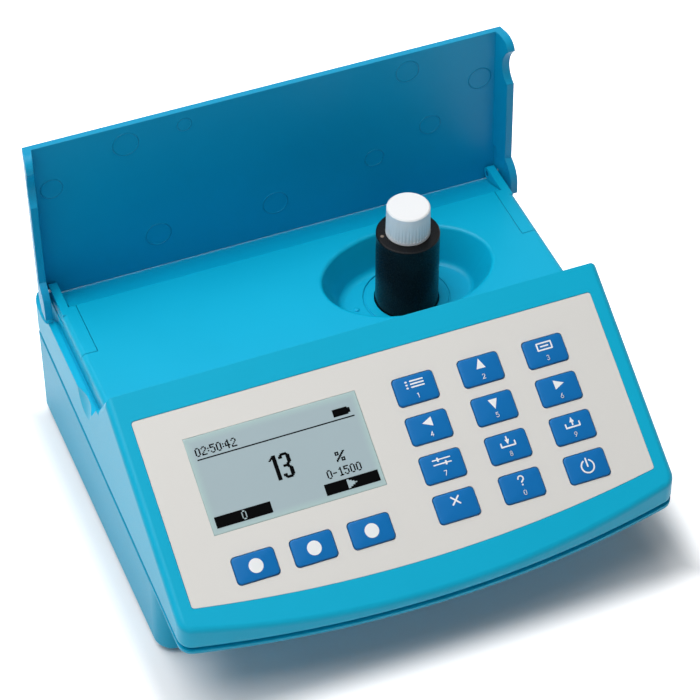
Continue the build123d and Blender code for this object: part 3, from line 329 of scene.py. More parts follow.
NODE_FINISH = {
    # The lid's finish carries painted shade: a darker, bluer copy of the housing's colour
    "upper_housing": "blue_housing", "lower_housing": "blue_base", "lid": "blue_lid",
    "hinge_bracket_left": "blue_housing", "hinge_bracket_right": "blue_housing",
    "hinge_pin_left": "pin_steel", "hinge_pin_right": "pin_steel",
    "keypad_label": "grey_label", "display_gasket": "black_foam", "display_module": "display_glass",
    "key_contact_mat": "grey_silicone", "main_board": "green_board", "rear_board": "green_board",
    "led_board": "green_board", "detector_board": "green_board", "reference_board": "green_board",
    "buzzer": "black_plastic", "cuvette_holder": "black_plastic", "well_seal": "black_foam",
    "vial_adapter": "black_sleeve", "vial_glass": "clear_glass", "sample_liquid": "sample",
    "vial_cap": "white_cap", "led_lamp": "clear_glass", "light_lens": "clear_glass",
    "detector_lens": "clear_glass", "interference_filter": "filter_mirror", "beam_splitter": "clear_glass",
    "reference_detector": "dark_sensor", "sample_detector": "dark_sensor", "battery_pack": "battery_wrap",
    "battery_strap": "strap_steel", "usb_socket": "shell_steel", "usb_tongue": "white_tongue",
    "charge_socket": "shell_steel", "electrode_jack": "black_plastic", "flat_cable": "grey_cable",
    "rubber_feet": "foot_rubber", "case_screws": "screw_steel", "board_screws": "screw_steel",
    "hinge_screws": "screw_steel",
}


class PhotometerFinish(bpy.types.PropertyGroup):
    """Colours of the moulded pieces."""

    housing_colour: bpy.props.FloatVectorProperty(
        name="Housing", description="Colour of the upper housing", default=(0.0, 0.42, 0.65), size=3,
        subtype="COLOR", min=0, max=1)
    # Darker and bluer than the housing's colour, though it is the same plastic: painted shade and painted
    # blue bounce light of the lid's inner face
    shaded_lid_colour: bpy.props.FloatVectorProperty(
        name="Lid", description="Colour of the lid", default=(0.0, 0.310, 0.55), size=3,
        subtype="COLOR", min=0, max=1)
    base_colour: bpy.props.FloatVectorProperty(
        name="Base", description="Colour of the lower housing", default=(0.0, 0.36, 0.57), size=3,
        subtype="COLOR", min=0, max=1)
    key_colour: bpy.props.FloatVectorProperty(
        name="Keys", description="Colour of the keys", default=(0.0, 0.152, 0.45), size=3,
        subtype="COLOR", min=0, max=1)
    label_colour: bpy.props.FloatVectorProperty(
        name="Label", description="Colour of the keypad label", default=(0.72, 0.71, 0.68), size=3,
        subtype="COLOR", min=0, max=1)


def finish(name):
    """One of the object's finishes, made once."""
    if name not in MADE_FINISHES:
        if name in CLEAR_FINISHES:
            MADE_FINISHES[name] = clear(name, **CLEAR_FINISHES[name])
        elif name in CHOSEN_COLOURS:
            colour = getattr(bpy.context.scene.photometer_finish, CHOSEN_COLOURS[name])
            MADE_FINISHES[name] = plastic(name, colour, **OPAQUE_FINISHES[name])
        else:
            MADE_FINISHES[name] = plastic(name, **OPAQUE_FINISHES[name])
    return MADE_FINISHES[name]


class PHOTOMETER_OT_finishes(bpy.types.Operator):
    """Give each carried-over piece its finish"""

    bl_idname = "photometer.finishes"
    bl_label = "Finishes"

    def execute(self, context):
        for node, finish_name in NODE_FINISH.items():
            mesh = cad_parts[node].data
            mesh.materials.clear()
            mesh.materials.append(finish(finish_name))
        return {"FINISHED"}


# Keys

# Middle column and first row of the keypad, and the steps between its keys
COLUMN_X = 42.4
COLUMN_PITCH = 27.7
ROW_S = 29.45
ROW_PITCH = 16.2
KEYPAD_COLUMNS = 3
KEYPAD_ROWS = 4

# Middle one of the soft keys under the display, and the step between them
FUNCTION_X = -44.4
FUNCTION_S = 77.9
FUNCTION_PITCH = 23.6
FUNCTION_KEYS = 3

KEY_CORNER = 1.65
KEY_CROWN = 0.45
KEY_EDGE = 0.55
KEY_EDGE_STEPS = 5

# How far each ring of a key stands out beyond its sides, and its level, from the flange's underside up
KEY_SIDE_RINGS = ((1.1, -3.9), (1.1, -2.7), (0.0, -2.7), (0.0, -0.4), (0.0, 0.1))

# Size of each ring on a key's face, as a share of the face
KEY_FACE_RINGS = (0.86, 0.7, 0.5, 0.3, 0.12)


class PhotometerKeys(bpy.types.PropertyGroup):
    """Sizes of the keys and of their print."""

    width: bpy.props.FloatProperty(
        name="Key width", description="Width of a key in millimetres", default=17.0, min=10, max=25)
    height: bpy.props.FloatProperty(
        name="Key height", description="Height of a keypad key in millimetres", default=11.3,
        min=6, max=15)
    function_height: bpy.props.FloatProperty(
        name="Soft key height", description="Height of a soft key in millimetres", default=10.8,
        min=6, max=15)
    rise: bpy.props.FloatProperty(
        name="Key rise", description="How far a key stands out of the panel in millimetres", default=1.1,
        min=0.2, max=4)
    dot_radius: bpy.props.FloatProperty(
        name="Soft key dot", description="Radius of the dot on a soft key in millimetres", default=2.85,
        min=0.5, max=5)


def key_places():
    """Name, place and height of each key."""
    sizes = bpy.context.scene.photometer_keys
    keys = []
    for number in range(FUNCTION_KEYS):
        x = FUNCTION_X + (number - 1) * FUNCTION_PITCH
        keys.append((f"function_key_{number + 1}", x, FUNCTION_S, sizes.function_height))
    for row in range(KEYPAD_ROWS):
        for column in range(KEYPAD_COLUMNS):
            x = COLUMN_X + (column - 1) * COLUMN_PITCH
            keys.append((f"key_row{row + 1}_{column + 1}", x, ROW_S + row * ROW_PITCH, sizes.height))
    return keys


def key_top(u, v):
    """Height of the crowned key face above the panel."""
    sizes = bpy.context.scene.photometer_keys
    ball = ((sizes.width / 2) ** 2 + KEY_CROWN ** 2) / (2 * KEY_CROWN)
    return sizes.rise - ball + sqrt(ball ** 2 - u * u - v * v)


def build_key(name, x, s, height):
    """A key with a flange behind the panel, straight sides, rounded edges and a crowned face."""
    width = bpy.context.scene.photometer_keys.width
    rings = []
    for grow, level in KEY_SIDE_RINGS:
        outline = rounded_outline(width + 2 * grow, height + 2 * grow, KEY_CORNER + grow)
        rings.append([on_panel(x + u, s - v, level) for u, v in outline])
    for step in range(1, KEY_EDGE_STEPS + 1):
        turn = radians(90 * step / KEY_EDGE_STEPS)
        inset = KEY_EDGE * (1 - cos(turn))
        drop = KEY_EDGE * (1 - sin(turn))
        outline = rounded_outline(width - 2 * inset, height - 2 * inset, KEY_CORNER - inset)
        rings.append([on_panel(x + u, s - v, key_top(u, v) - drop) for u, v in outline])
    for share in KEY_FACE_RINGS:
        outline = rounded_outline((width - 2 * KEY_EDGE) * share, (height - 2 * KEY_EDGE) * share,
                                  (KEY_CORNER - KEY_EDGE) * share)
        rings.append([on_panel(x + u, s - v, key_top(u, v)) for u, v in outline])
    verts, faces = loft_rings(rings)
    piece = new_piece(name + "_cap", verts, faces, finish("blue_key"))
    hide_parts(name)
    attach(piece, name)


class PHOTOMETER_OT_keys(bpy.types.Operator):
    """Build the fifteen keys"""

    bl_idname = "photometer.keys"
    bl_label = "Keys"

    def execute(self, context):
        for name, x, s, height in key_places():
            build_key(name, x, s, height)
        return {"FINISHED"}


# Print on the keys

LINE = 0.6
POINT = 0.7
ARROW = 2.5
SMALL_ARROW = 1.25
SYMBOL_MIDDLE = 2.0
DIGIT_MIDDLE = -2.9
DIGIT_HEIGHT = 1.9
DIGIT_LINE = 0.26
PRINT_LEVEL = 0.02
SOFT_KEY_DOT_STEPS = 48

# Half the width of a digit, as a share of its height
DIGIT_HALF_WIDTH = 0.3


def arc(x, y, radius, start, end, steps=16):
    """Points of an arc, in degrees."""
    turns = [radians(start + (end - start) * k / steps) for k in range(steps + 1)]
    return [(x + radius * cos(turn), y + radius * sin(turn)) for turn in turns]


def arrowhead(x, y, size, turn):
    """An arrowhead whose tip points along turn, in degrees."""
    corners = [radians(turn + corner) for corner in (0, 130, 230)]
    return [[(x + size * cos(corner), y + size * sin(corner)) for corner in corners]]


# Pen lines of each digit, one unit high
DIGITS = {
    "0": [arc(0.3, 0.7, 0.28, 0, 180) + arc(0.3, 0.3, 0.28, 180, 360) + [(0.58, 0.7)]],
    "1": [[(0.12, 0.80), (0.34, 0.98), (0.34, 0.02)]],
    "2": [arc(0.3, 0.7, 0.27, 160, -35) + [(0.03, 0.02), (0.58, 0.02)]],
    "3": [arc(0.28, 0.74, 0.24, 150, -90) + arc(0.28, 0.27, 0.26, 90, -150)],
    "4": [[(0.42, 0.02), (0.42, 0.98), (0.02, 0.30), (0.60, 0.30)]],
    "5": [[(0.52, 0.98), (0.10, 0.98), (0.06, 0.56)] + arc(0.28, 0.32, 0.30, 125, -150)],
    "6": [[(0.46, 0.98)] + arc(0.31, 0.31, 0.28, 155, 515, 24)],
    "7": [[(0.02, 0.98), (0.58, 0.98), (0.22, 0.02)]],
    "8": [arc(0.3, 0.75, 0.22, -90, 270, 20), arc(0.3, 0.27, 0.26, 90, 450, 20)],
    "9": [[(0.14, 0.02)] + arc(0.29, 0.69, 0.28, -25, -385, 24)],
}

# Outlines of each symbol round its own middle
TRAY = stroke([(-2.9, -0.3), (-2.9, -1.8), (2.9, -1.8), (2.9, -0.3)], LINE)
SYMBOLS = {
    "up": arrowhead(0.0, 0.0, ARROW, 90),
    "down": arrowhead(0.0, 0.0, ARROW, 270),
    "left": arrowhead(0.0, 0.0, ARROW, 180),
    "right": arrowhead(0.0, 0.0, ARROW, 0),
    "list": [loop for level in (-1.25, 0.0, 1.25)
             for loop in stroke([(-1.6, level), (3.6, level)], LINE)
             + stroke([(-3.5, level), (-3.2, level)], POINT)],
    "frame": stroke([(-3.0, -1.4), (3.0, -1.4), (3.0, 1.4), (-3.0, 1.4)], LINE, True)
             + stroke([(-1.5, 0.0), (1.5, 0.0)], LINE),
    "sliders": [loop for level, knob in ((0.95, -1.5), (-0.95, 1.5))
                for loop in stroke([(-3.6, level), (3.6, level)], 0.5)
                + stroke([(knob, level - 0.5), (knob, level + 0.5)], 0.8)],
    "store": stroke([(0.0, 2.0), (0.0, 0.4)], LINE) + arrowhead(0.0, 0.1, SMALL_ARROW, 270) + TRAY,
    "fetch": stroke([(0.0, -0.9), (0.0, 0.8)], LINE) + arrowhead(0.0, 1.0, SMALL_ARROW, 90) + TRAY,
    "cross": stroke([(-1.5, -1.5), (1.5, 1.5)], 0.65) + stroke([(-1.5, 1.5), (1.5, -1.5)], 0.65),
    "question": stroke(arc(0.0, 0.8, 1.05, 175, -60) + [(0.0, -0.65)], LINE)
                + stroke([(0.0, -1.75), (0.0, -1.70)], POINT),
    "power": stroke(arc(0.0, -0.2, 2.6, 118, 422, 28), 0.62) + stroke([(0.0, -0.2), (0.0, 3.0)], 0.65),
}

# Symbol, its middle and digit of each keypad key
KEY_PRINT = {
    "key_row1_1": ("list", SYMBOL_MIDDLE, "1"),
    "key_row1_2": ("up", SYMBOL_MIDDLE, "2"),
    "key_row1_3": ("frame", SYMBOL_MIDDLE, "3"),
    "key_row2_1": ("left", SYMBOL_MIDDLE, "4"),
    "key_row2_2": ("down", SYMBOL_MIDDLE, "5"),
    "key_row2_3": ("right", SYMBOL_MIDDLE, "6"),
    "key_row3_1": ("sliders", SYMBOL_MIDDLE, "7"),
    "key_row3_2": ("store", SYMBOL_MIDDLE, "8"),
    "key_row3_3": ("fetch", SYMBOL_MIDDLE, "9"),
    "key_row4_1": ("cross", SYMBOL_MIDDLE, None),
    "key_row4_2": ("question", SYMBOL_MIDDLE, "0"),
    "key_row4_3": ("power", 0.0, None),
}


def keypad_print(name):
    """Outlines of the symbol on a keypad key and of the digit beneath it."""
    kind, middle, digit = KEY_PRINT[name]
    loops = [[(u, v + middle) for u, v in loop] for loop in SYMBOLS[kind]]
    if digit:
        for line in DIGITS[digit]:
            points = [((u - DIGIT_HALF_WIDTH) * DIGIT_HEIGHT, DIGIT_MIDDLE + (v - 0.5) * DIGIT_HEIGHT)
                      for u, v in line]
            loops += stroke(points, DIGIT_LINE)
    return loops


class PHOTOMETER_OT_key_print(bpy.types.Operator):
    """Print the dots, arrows, symbols and digits on the keys"""

    bl_idname = "photometer.key_print"
    bl_label = "Print on the keys"

    def execute(self, context):
        soft_key_dot = [circle_outline(context.scene.photometer_keys.dot_radius, SOFT_KEY_DOT_STEPS)]
        for name, x, s, _ in key_places():
            loops = keypad_print(name) if name in KEY_PRINT else soft_key_dot

            def place(u, v, level):
                return on_panel(x + u, s - v, key_top(u, v) + PRINT_LEVEL + level)

            verts, faces = thin_plates(loops, place)
            piece = new_piece(name + "_print", verts, faces, finish("white_print"), smooth=False)
            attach(piece, name)
        return {"FINISHED"}


# Display

WINDOW_X = -44.1
WINDOW_S = 42.85
WINDOW_WIDTH = 70.7
WINDOW_HEIGHT = 39.1
WINDOW_TOP = -0.1
WINDOW_UNDER = -1.7
PANE_GAP = 0.08
PANE_CORNER = 0.4

# Inset and level of each ring of the pane, from its underside over the rounded edge to its middle
PANE_RINGS = ((0.0, WINDOW_UNDER), (0.0, WINDOW_TOP - 0.25), (0.08, WINDOW_TOP - 0.07),
              (0.25, WINDOW_TOP), (6.0, WINDOW_TOP), (17.0, WINDOW_TOP))

# The greener grey near the window's edges, and how far in it reaches
SCREEN_EDGE_COLOUR = (0.42, 0.575, 0.575, 1)
SCREEN_EDGE_REACH = 3.6

# Pitch of the dots, how far a dot runs into the next one, the first dot's corner, and how far they sink in
DOT = 0.5023
DOT_SPREAD = 0.04
DOTS_LEFT = -32.25
DOTS_TOP = 14.9
DOTS_SINK = 0.01

# Rows of dots of each sign, where 1 is a dark dot
SIGNS = {
    "0": ("0110", "1001", "1001", "1001", "1001", "1001", "0110"),
    "1": ("0010", "0110", "0010", "0010", "0010", "0010", "0111"),
    "2": ("0110", "1001", "0001", "0010", "0100", "1000", "1111"),
    "4": ("0010", "0110", "1010", "1010", "1111", "0010", "0010"),
    "5": ("1111", "1000", "1110", "0001", "0001", "1001", "0110"),
    ":": ("0", "0", "1", "0", "1", "0", "0"),
    "-": ("000", "000", "000", "111", "000", "000", "000"),
}
BIG_ONE = ("000111", "001111", "011111", "110111") + ("000111",) * 16
BIG_THREE = (("001111100", "011111110", "111000111", "111000111") + ("000000111",) * 4
             + ("000001110", "001111100", "001111100", "000001110") + ("000000111",) * 4
             + ("111000111", "111000111", "011111110", "001111100"))
PERCENT = ("1110001100", "1010011000", "1110110000", "0001100000", "0011000000", "0110111000",
           "1100101000", "1000111000")
NEXT_ARROW = ("11", "1111", "111111", "11111111", "111111", "1111", "11")

# First column and row of each line of text, of each large sign, and of each sign that is left pale in a box
TEXT_LINES = (("02:50:42", 0, 0), ("0-1500", 92, 45))
DARK_SIGNS = ((BIG_ONE, 52, 22), (BIG_THREE, 60, 22), (PERCENT, 103, 33))
PALE_SIGNS = ((SIGNS["0"], 19, 56), (NEXT_ARROW, 105, 56))

# First column, first row, columns and rows of the rule, the battery sign, its tip and the two boxes
DARK_BLOCKS = ((0, 9, 128, 1), (112, 1, 12, 6), (124, 2, 2, 4), (-2, 55, 45, 9), (87, 55, 44, 9))


def sign_dots(rows, left, top):
    """The dots of a sign as a set of (column, row)."""
    return {(left + c, top + r) for r, row in enumerate(rows) for c, dot in enumerate(row) if dot == "1"}


def display_dots():
    """The dark dots of the display as a set of (column, row)."""
    dark = set()
    for text, left, top in TEXT_LINES:
        for letter in text:
            dark |= sign_dots(SIGNS[letter], left, top)
            left += len(SIGNS[letter][0]) + 1
    for rows, left, top in DARK_SIGNS:
        dark |= sign_dots(rows, left, top)
    for left, top, columns, rows in DARK_BLOCKS:
        dark |= {(left + c, top + r) for c in range(columns) for r in range(rows)}
    for rows, left, top in PALE_SIGNS:
        dark -= sign_dots(rows, left, top)
    return dark


def dot_bars():
    """Outlines of the bars that the dark dots of each row run together into."""
    dark = display_dots()
    loops = []
    for row in sorted({row for _, row in dark}):
        columns = sorted(c for c, r in dark if r == row)
        firsts = [c for c in columns if c - 1 not in columns]
        lasts = [c for c in columns if c + 1 not in columns]
        top = DOTS_TOP - row * DOT
        for first, last in zip(firsts, lasts):
            left = DOTS_LEFT + first * DOT - DOT_SPREAD
            right = DOTS_LEFT + (last + 1) * DOT + DOT_SPREAD
            loops.append([(left, top - DOT), (right, top - DOT), (right, top), (left, top)])
    return loops


def green_towards_the_edges(material):
    """Mix a greener grey into the display's colour near the edges of its window."""
    tree = material.node_tree
    base = tree.nodes["Principled BSDF"].inputs["Base Color"]
    place = tree.nodes.new("ShaderNodeTexCoord")
    shares = []
    for along, half_size in ((Vector((1, 0, 0)), WINDOW_WIDTH / 2), (DOWN_SLOPE, WINDOW_HEIGHT / 2)):
        measure = tree.nodes.new("ShaderNodeVectorMath")
        measure.operation = "DOT_PRODUCT"
        measure.inputs[1].default_value = along
        tree.links.new(place.outputs["Object"], measure.inputs[0])
        middle = on_panel(WINDOW_X, WINDOW_S).dot(along)
        offset = worked_out(tree, "SUBTRACT", measure.outputs["Value"], middle)
        distance = worked_out(tree, "ABSOLUTE", offset)
        edge = ((half_size - SCREEN_EDGE_REACH) * MM, half_size * MM)
        shares.append(map_range(tree, distance, source=edge, smooth=True))
    larger = worked_out(tree, "MAXIMUM", *shares)
    tint = mixed(tree, larger, base.links[0].from_socket, SCREEN_EDGE_COLOUR)
    tree.links.new(tint, base)


class PHOTOMETER_OT_display(bpy.types.Operator):
    """Build the display's pane and the dark dots of its reading"""

    bl_idname = "photometer.display"
    bl_label = "Display"

    def execute(self, context):
        rings = []
        for inset, level in PANE_RINGS:
            less = 2 * (PANE_GAP + inset)
            outline = rounded_outline(WINDOW_WIDTH - less, WINDOW_HEIGHT - less, PANE_CORNER)
            rings.append([on_panel(WINDOW_X + u, WINDOW_S - v, level) for u, v in outline])
        verts, faces = loft_rings(rings)
        green_towards_the_edges(finish("display_screen"))
        pane = new_piece("display_pane", verts, faces, finish("display_screen"), smooth=False)
        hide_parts("display_window")
        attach(pane, "case")

        def place(u, v, level):
            return on_panel(WINDOW_X + u, WINDOW_S - v, WINDOW_TOP - DOTS_SINK + level)

        verts, faces = thin_plates(dot_bars(), place)
        piece = new_piece("display_reading", verts, faces, finish("display_ink"), smooth=False)
        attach(piece, "case")
        return {"FINISHED"}


# Pin rings on the lid

PIVOT = Vector((0.0, 84.55, 73.2))
LID_TURN = radians(92)
LID_FACE = 3.1
UP_THE_LID = Vector((0, -cos(LID_TURN), sin(LID_TURN)))
OUT_OF_THE_LID = Vector((0, -sin(LID_TURN), -cos(LID_TURN)))

# Place across, height above the hinge and radius of each ring
PIN_RINGS = ((-61.0, 62.1, 5.4), (-36.2, 64.5, 3.0), (-92.7, 49.4, 4.6), (59.8, 62.4, 5.0),
             (92.3, 49.3, 5.0), (-50.2, 12.0, 5.4), (0.8, 12.0, 5.4), (70.0, 32.0, 4.6), (45.0, 22.0, 4.2))
PIN_RING_WIDTH = 0.7
PIN_RING_RISE = 0.10
PIN_RING_STEPS = 56

# Offset from the ring's middle line as a share of its width, and level as a share of its rise
PIN_RING_SHOULDERS = ((-0.25, 0.8), (0.0, 1.0), (0.25, 0.8))
PIN_RING_ROOT = -0.05


def on_lid(x, t, n=0.0):
    """A point on the open lid's inner face: t up from the hinge axis, n out towards the front."""
    return (PIVOT + Vector((x, 0, 0)) + UP_THE_LID * t + OUT_OF_THE_LID * (n - LID_FACE)) * MM


def pin_ring(x, t, radius):
    """Verts and faces of a low rounded ring on the lid's inner face."""
    profile = [(radius - PIN_RING_WIDTH / 2, PIN_RING_ROOT)]
    profile += [(radius + PIN_RING_WIDTH * share, PIN_RING_RISE * level)
                for share, level in PIN_RING_SHOULDERS]
    profile += [(radius + PIN_RING_WIDTH / 2, PIN_RING_ROOT)]
    verts = [on_lid(x + u, t + v, n) for r, n in profile for u, v in circle_outline(r, PIN_RING_STEPS)]
    faces = []
    for level in range(len(profile)):
        here = level * PIN_RING_STEPS
        there = (level + 1) % len(profile) * PIN_RING_STEPS
        for k in range(PIN_RING_STEPS):
            j = (k + 1) % PIN_RING_STEPS
            faces.append((here + k, here + j, there + j, there + k))
    return verts, faces


class PHOTOMETER_OT_mould_marks(bpy.types.Operator):
    """Add the rings that the mould's pins leave in the lid"""

    bl_idname = "photometer.mould_marks"
    bl_label = "Mould marks"

    def execute(self, context):
        for number, (x, t, radius) in enumerate(PIN_RINGS):
            verts, faces = pin_ring(x, t, radius)
            # The rings take the lid's colour, with its painted shade
            piece = new_piece(f"lid_pin_ring_{number + 1}", verts, faces, finish("blue_lid"))
            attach(piece, "lid")
        return {"FINISHED"}


# Index marks of the dish and the adapter

WELL_X = 39.5
WELL_Y = 39.25

# Middle, radius and rise of each mark
DISH_BUMP = ((WELL_X - 21.9, WELL_Y + 0.3, 61.0), 1.15, 0.55)
ADAPTER_DOT = ((WELL_X - 10.7, WELL_Y + 1.2, 97.2), 0.75, 0.06)

# Radius and level of each ring of a dome, as shares of its radius and rise
DOME_RINGS = ((1.0, 0.0), (0.92, 0.45), (0.74, 0.78), (0.45, 0.95), (0.15, 1.0))
DOME_ROOT = -0.1
DOME_STEPS = 32


def dome_mesh(middle, radius, rise):
    """Verts and faces of a small round bump on a level surface."""
    x, y, z = middle
    levels = [(radius, DOME_ROOT)]
    levels += [(radius * share, rise * level) for share, level in DOME_RINGS]
    return loft_rings([[Vector((x + u, y + v, z + level)) * MM for u, v in circle_outline(r, DOME_STEPS)]
                       for r, level in levels])


class PHOTOMETER_OT_index_marks(bpy.types.Operator):
    """Add the index bump in the dish and the dot on the adapter's rim"""

    bl_idname = "photometer.index_marks"
    bl_label = "Index marks"

    def execute(self, context):
        verts, faces = dome_mesh(*DISH_BUMP)
        bump = new_piece("dish_index_bump", verts, faces, finish("blue_housing"))
        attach(bump, "case")

        verts, faces = dome_mesh(*ADAPTER_DOT)
        dot = new_piece("adapter_index_dot", verts, faces, finish("brown_dot"))
        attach(dot, "adapter")
        return {"FINISHED"}


# Stage, with places and sizes in metres

CAMERA_PLACE = Vector((-0.29891, -0.73445, 0.86547))
CAMERA_AZIMUTH = radians(-22.047)
CAMERA_ELEVATION = radians(44.703)
CAMERA_ROLL = radians(0.082)
SENSOR_WIDTH = 36.0
NEAREST_SEEN = 0.05
FARTHEST_SEEN = 20.0

FLOOR_REACH = 4.0
FLOOR_COLOUR = (0.86, 0.86, 0.87, 1)

# Half the width and depth of the patch of floor under the object that hardly glows, so the floor stays
# darker round the object: painted shade
PAINTED_SHADE_PATCH = (0.100, 0.080)

# Distance outside that patch over which the glow comes up, and its strength at both ends
GLOW_DISTANCES = (0.006, 0.027)
GLOW_STRENGTHS = (0.01, 0.8)

# Strength of the white room where it only gives light, and where it is seen
ROOM_STRENGTHS = (0.12, 1.0)
WHITE = (1, 1, 1, 1)

# Place, width, depth and power setting of each softbox, and the point that all of them face
SOFTBOXES = {
    "overhead_softbox": ((-0.4, 0.22, 1.55), 1.8, 1.2, "key_light"),
    "left_softbox": ((-0.9, 0.2, 0.95), 0.8, 0.8, "side_light"),
    "front_fill": ((-0.5, -1.4, 0.9), 1.2, 1.0, "fill_light"),
}
LIT_POINT = Vector((0.0, 0.0, 0.05))


class PhotometerStage(bpy.types.PropertyGroup):
    """Camera and light."""

    lens: bpy.props.FloatProperty(
        name="Lens", description="Focal length of the camera", default=145.75, min=20, max=400,
        unit="CAMERA")
    key_light: bpy.props.FloatProperty(
        name="Overhead light", description="Power of the overhead softbox", default=28.0, min=0, max=500,
        unit="POWER")
    side_light: bpy.props.FloatProperty(
        name="Side light", description="Power of the softbox on the left", default=1.2, min=0, max=500,
        unit="POWER")
    fill_light: bpy.props.FloatProperty(
        name="Fill light", description="Power of the front fill", default=2.2, min=0, max=500,
        unit="POWER")


def place_camera(scene, lens):
    """Stand the camera where the photograph was taken from."""
    camera_data = bpy.data.cameras.new("camera")
    camera_data.lens = lens
    camera_data.sensor_width = SENSOR_WIDTH
    camera_data.clip_start = NEAREST_SEEN
    camera_data.clip_end = FARTHEST_SEEN
    camera = bpy.data.objects.new("camera", camera_data)
    back = Vector((sin(CAMERA_AZIMUTH) * cos(CAMERA_ELEVATION), -cos(CAMERA_AZIMUTH) * cos(CAMERA_ELEVATION),
                   sin(CAMERA_ELEVATION)))
    right = Vector((cos(CAMERA_AZIMUTH), sin(CAMERA_AZIMUTH), 0))
    rolled_right = right * cos(CAMERA_ROLL) + back.cross(right) * sin(CAMERA_ROLL)
    rolled_up = back.cross(rolled_right)
    turn = Matrix((rolled_right, rolled_up, back)).transposed().to_4x4()
    camera.matrix_world = Matrix.Translation(CAMERA_PLACE) @ turn
    scene.collection.objects.link(camera)
    scene.camera = camera


def seen_directly(tree):
    """One where a surface is seen by the camera, in a reflection or through glass, and nought elsewhere."""
    path = tree.nodes.new("ShaderNodeLightPath")
    total = path.outputs["Is Camera Ray"]
    for way in ("Is Glossy Ray", "Is Transmission Ray"):
        total = worked_out(tree, "ADD", total, path.outputs[way], clamp=True)
    return total


def floor_finish():
    """A matte floor that keeps the object's shadow and, where it is seen, glows to white away from it; the
    glow is kept low near the object, which leaves painted shade round it.
    """
    material, tree, _ = new_material("pale_floor")
    tree.nodes.clear()
    out = tree.nodes.new("ShaderNodeOutputMaterial")
    matte = tree.nodes.new("ShaderNodeBsdfDiffuse")
    matte.inputs["Color"].default_value = FLOOR_COLOUR
    glow = tree.nodes.new("ShaderNodeEmission")
    glow.inputs["Color"].default_value = WHITE
    both = tree.nodes.new("ShaderNodeAddShader")
    choose = tree.nodes.new("ShaderNodeMixShader")
    place = tree.nodes.new("ShaderNodeTexCoord")
    apart = tree.nodes.new("ShaderNodeSeparateXYZ")
    tree.links.new(place.outputs["Object"], apart.inputs[0])
    beyond = []
    for number, half_size in enumerate(PAINTED_SHADE_PATCH):
        distance = worked_out(tree, "ABSOLUTE", apart.outputs[number])
        beyond.append(worked_out(tree, "SUBTRACT", distance, half_size))
    outside = worked_out(tree, "MAXIMUM", *beyond)
    # Painted shade: the glow fades out towards the object, so the floor near it stays darker
    strength = map_range(tree, outside, GLOW_DISTANCES, GLOW_STRENGTHS, smooth=True)
    tree.links.new(strength, glow.inputs["Strength"])
    tree.links.new(matte.outputs[0], both.inputs[0])
    tree.links.new(glow.outputs[0], both.inputs[1])
    tree.links.new(seen_directly(tree), choose.inputs[0])
    tree.links.new(matte.outputs[0], choose.inputs[1])
    tree.links.new(both.outputs[0], choose.inputs[2])
    tree.links.new(choose.outputs[0], out.inputs[0])
    return material


def lay_floor(scene):
    """Lay a plain pale floor under the object."""
    corners = [(x * FLOOR_REACH, y * FLOOR_REACH, 0) for x, y in ((-1, -1), (1, -1), (1, 1), (-1, 1))]
    mesh = bpy.data.meshes.new("floor")
    mesh.from_pydata(corners, [], [(0, 1, 2, 3)])
    mesh.materials.append(floor_finish())
    floor = bpy.data.objects.new("floor", mesh)
    scene.collection.objects.link(floor)


def hang_softbox(scene, name, place, width, depth, power):
    """Hang an area light that faces the object."""
    light_data = bpy.data.lights.new(name, "AREA")
    light_data.shape = "RECTANGLE"
    light_data.size = width
    light_data.size_y = depth
    light_data.energy = power
    light = bpy.data.objects.new(name, light_data)
    direction = LIT_POINT - Vector(place)
    light.rotation_euler = direction.to_track_quat("-Z", "Y").to_euler()
    light.location = place
    scene.collection.objects.link(light)


def light_room(scene):
    """Put a white room round the object that gives only a little light."""
    world = bpy.data.worlds.new("white_room")
    scene.world = world
    world.use_nodes = True
    tree = world.node_tree
    tree.nodes.clear()
    out = tree.nodes.new("ShaderNodeOutputWorld")
    background = tree.nodes.new("ShaderNodeBackground")
    background.inputs["Color"].default_value = WHITE
    strength = map_range(tree, seen_directly(tree), target=ROOM_STRENGTHS)
    tree.links.new(strength, background.inputs["Strength"])
    tree.links.new(background.outputs[0], out.inputs[0])


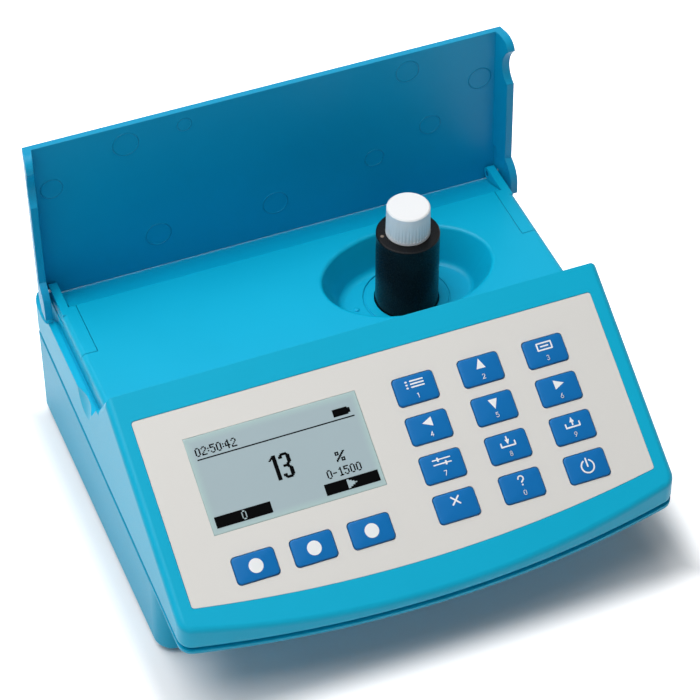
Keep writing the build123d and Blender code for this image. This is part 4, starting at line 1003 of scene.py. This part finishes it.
class PHOTOMETER_OT_stage(bpy.types.Operator):
    """Set the floor, the lights and the camera"""

    bl_idname = "photometer.stage"
    bl_label = "Stage"

    def execute(self, context):
        scene = context.scene
        settings = scene.photometer_stage
        scene.view_settings.view_transform = "Standard"
        place_camera(scene, settings.lens)
        lay_floor(scene)
        for name, (place, width, depth, power) in SOFTBOXES.items():
            hang_softbox(scene, name, place, width, depth, getattr(settings, power))
        light_room(scene)
        return {"FINISHED"}


# Panel and registration

class PHOTOMETER_PT_pieces(bpy.types.Panel):
    """The photometer's pieces and settings"""

    bl_idname = "PHOTOMETER_PT_pieces"
    bl_label = "Bench photometer"
    bl_space_type = "VIEW_3D"
    bl_region_type = "UI"
    bl_category = "Photometer"

    def draw(self, context):
        layout = self.layout
        scene = context.scene
        for settings in (scene.photometer_finish, scene.photometer_keys, scene.photometer_stage):
            box = layout.box()
            for name in settings.bl_rna.properties.keys():
                if name not in ("rna_type", "name"):
                    box.prop(settings, name)
        for operator in OPERATORS:
            layout.operator(operator.bl_idname)


OPERATORS = (PHOTOMETER_OT_finishes, PHOTOMETER_OT_keys, PHOTOMETER_OT_key_print, PHOTOMETER_OT_display,
             PHOTOMETER_OT_mould_marks, PHOTOMETER_OT_index_marks, PHOTOMETER_OT_stage)
CLASSES = (PhotometerFinish, PhotometerKeys, PhotometerStage) + OPERATORS + (PHOTOMETER_PT_pieces,)


def register():
    for item in CLASSES:
        bpy.utils.register_class(item)
    bpy.types.Scene.photometer_finish = bpy.props.PointerProperty(type=PhotometerFinish)
    bpy.types.Scene.photometer_keys = bpy.props.PointerProperty(type=PhotometerKeys)
    bpy.types.Scene.photometer_stage = bpy.props.PointerProperty(type=PhotometerStage)


def unregister():
    del bpy.types.Scene.photometer_finish
    del bpy.types.Scene.photometer_keys
    del bpy.types.Scene.photometer_stage
    for item in reversed(CLASSES):
        bpy.utils.unregister_class(item)


def main():
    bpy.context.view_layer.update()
    register()
    for operator in OPERATORS:
        group, name = operator.bl_idname.split(".")
        getattr(getattr(bpy.ops, group), name)()


if __name__ == "__main__":
    main()
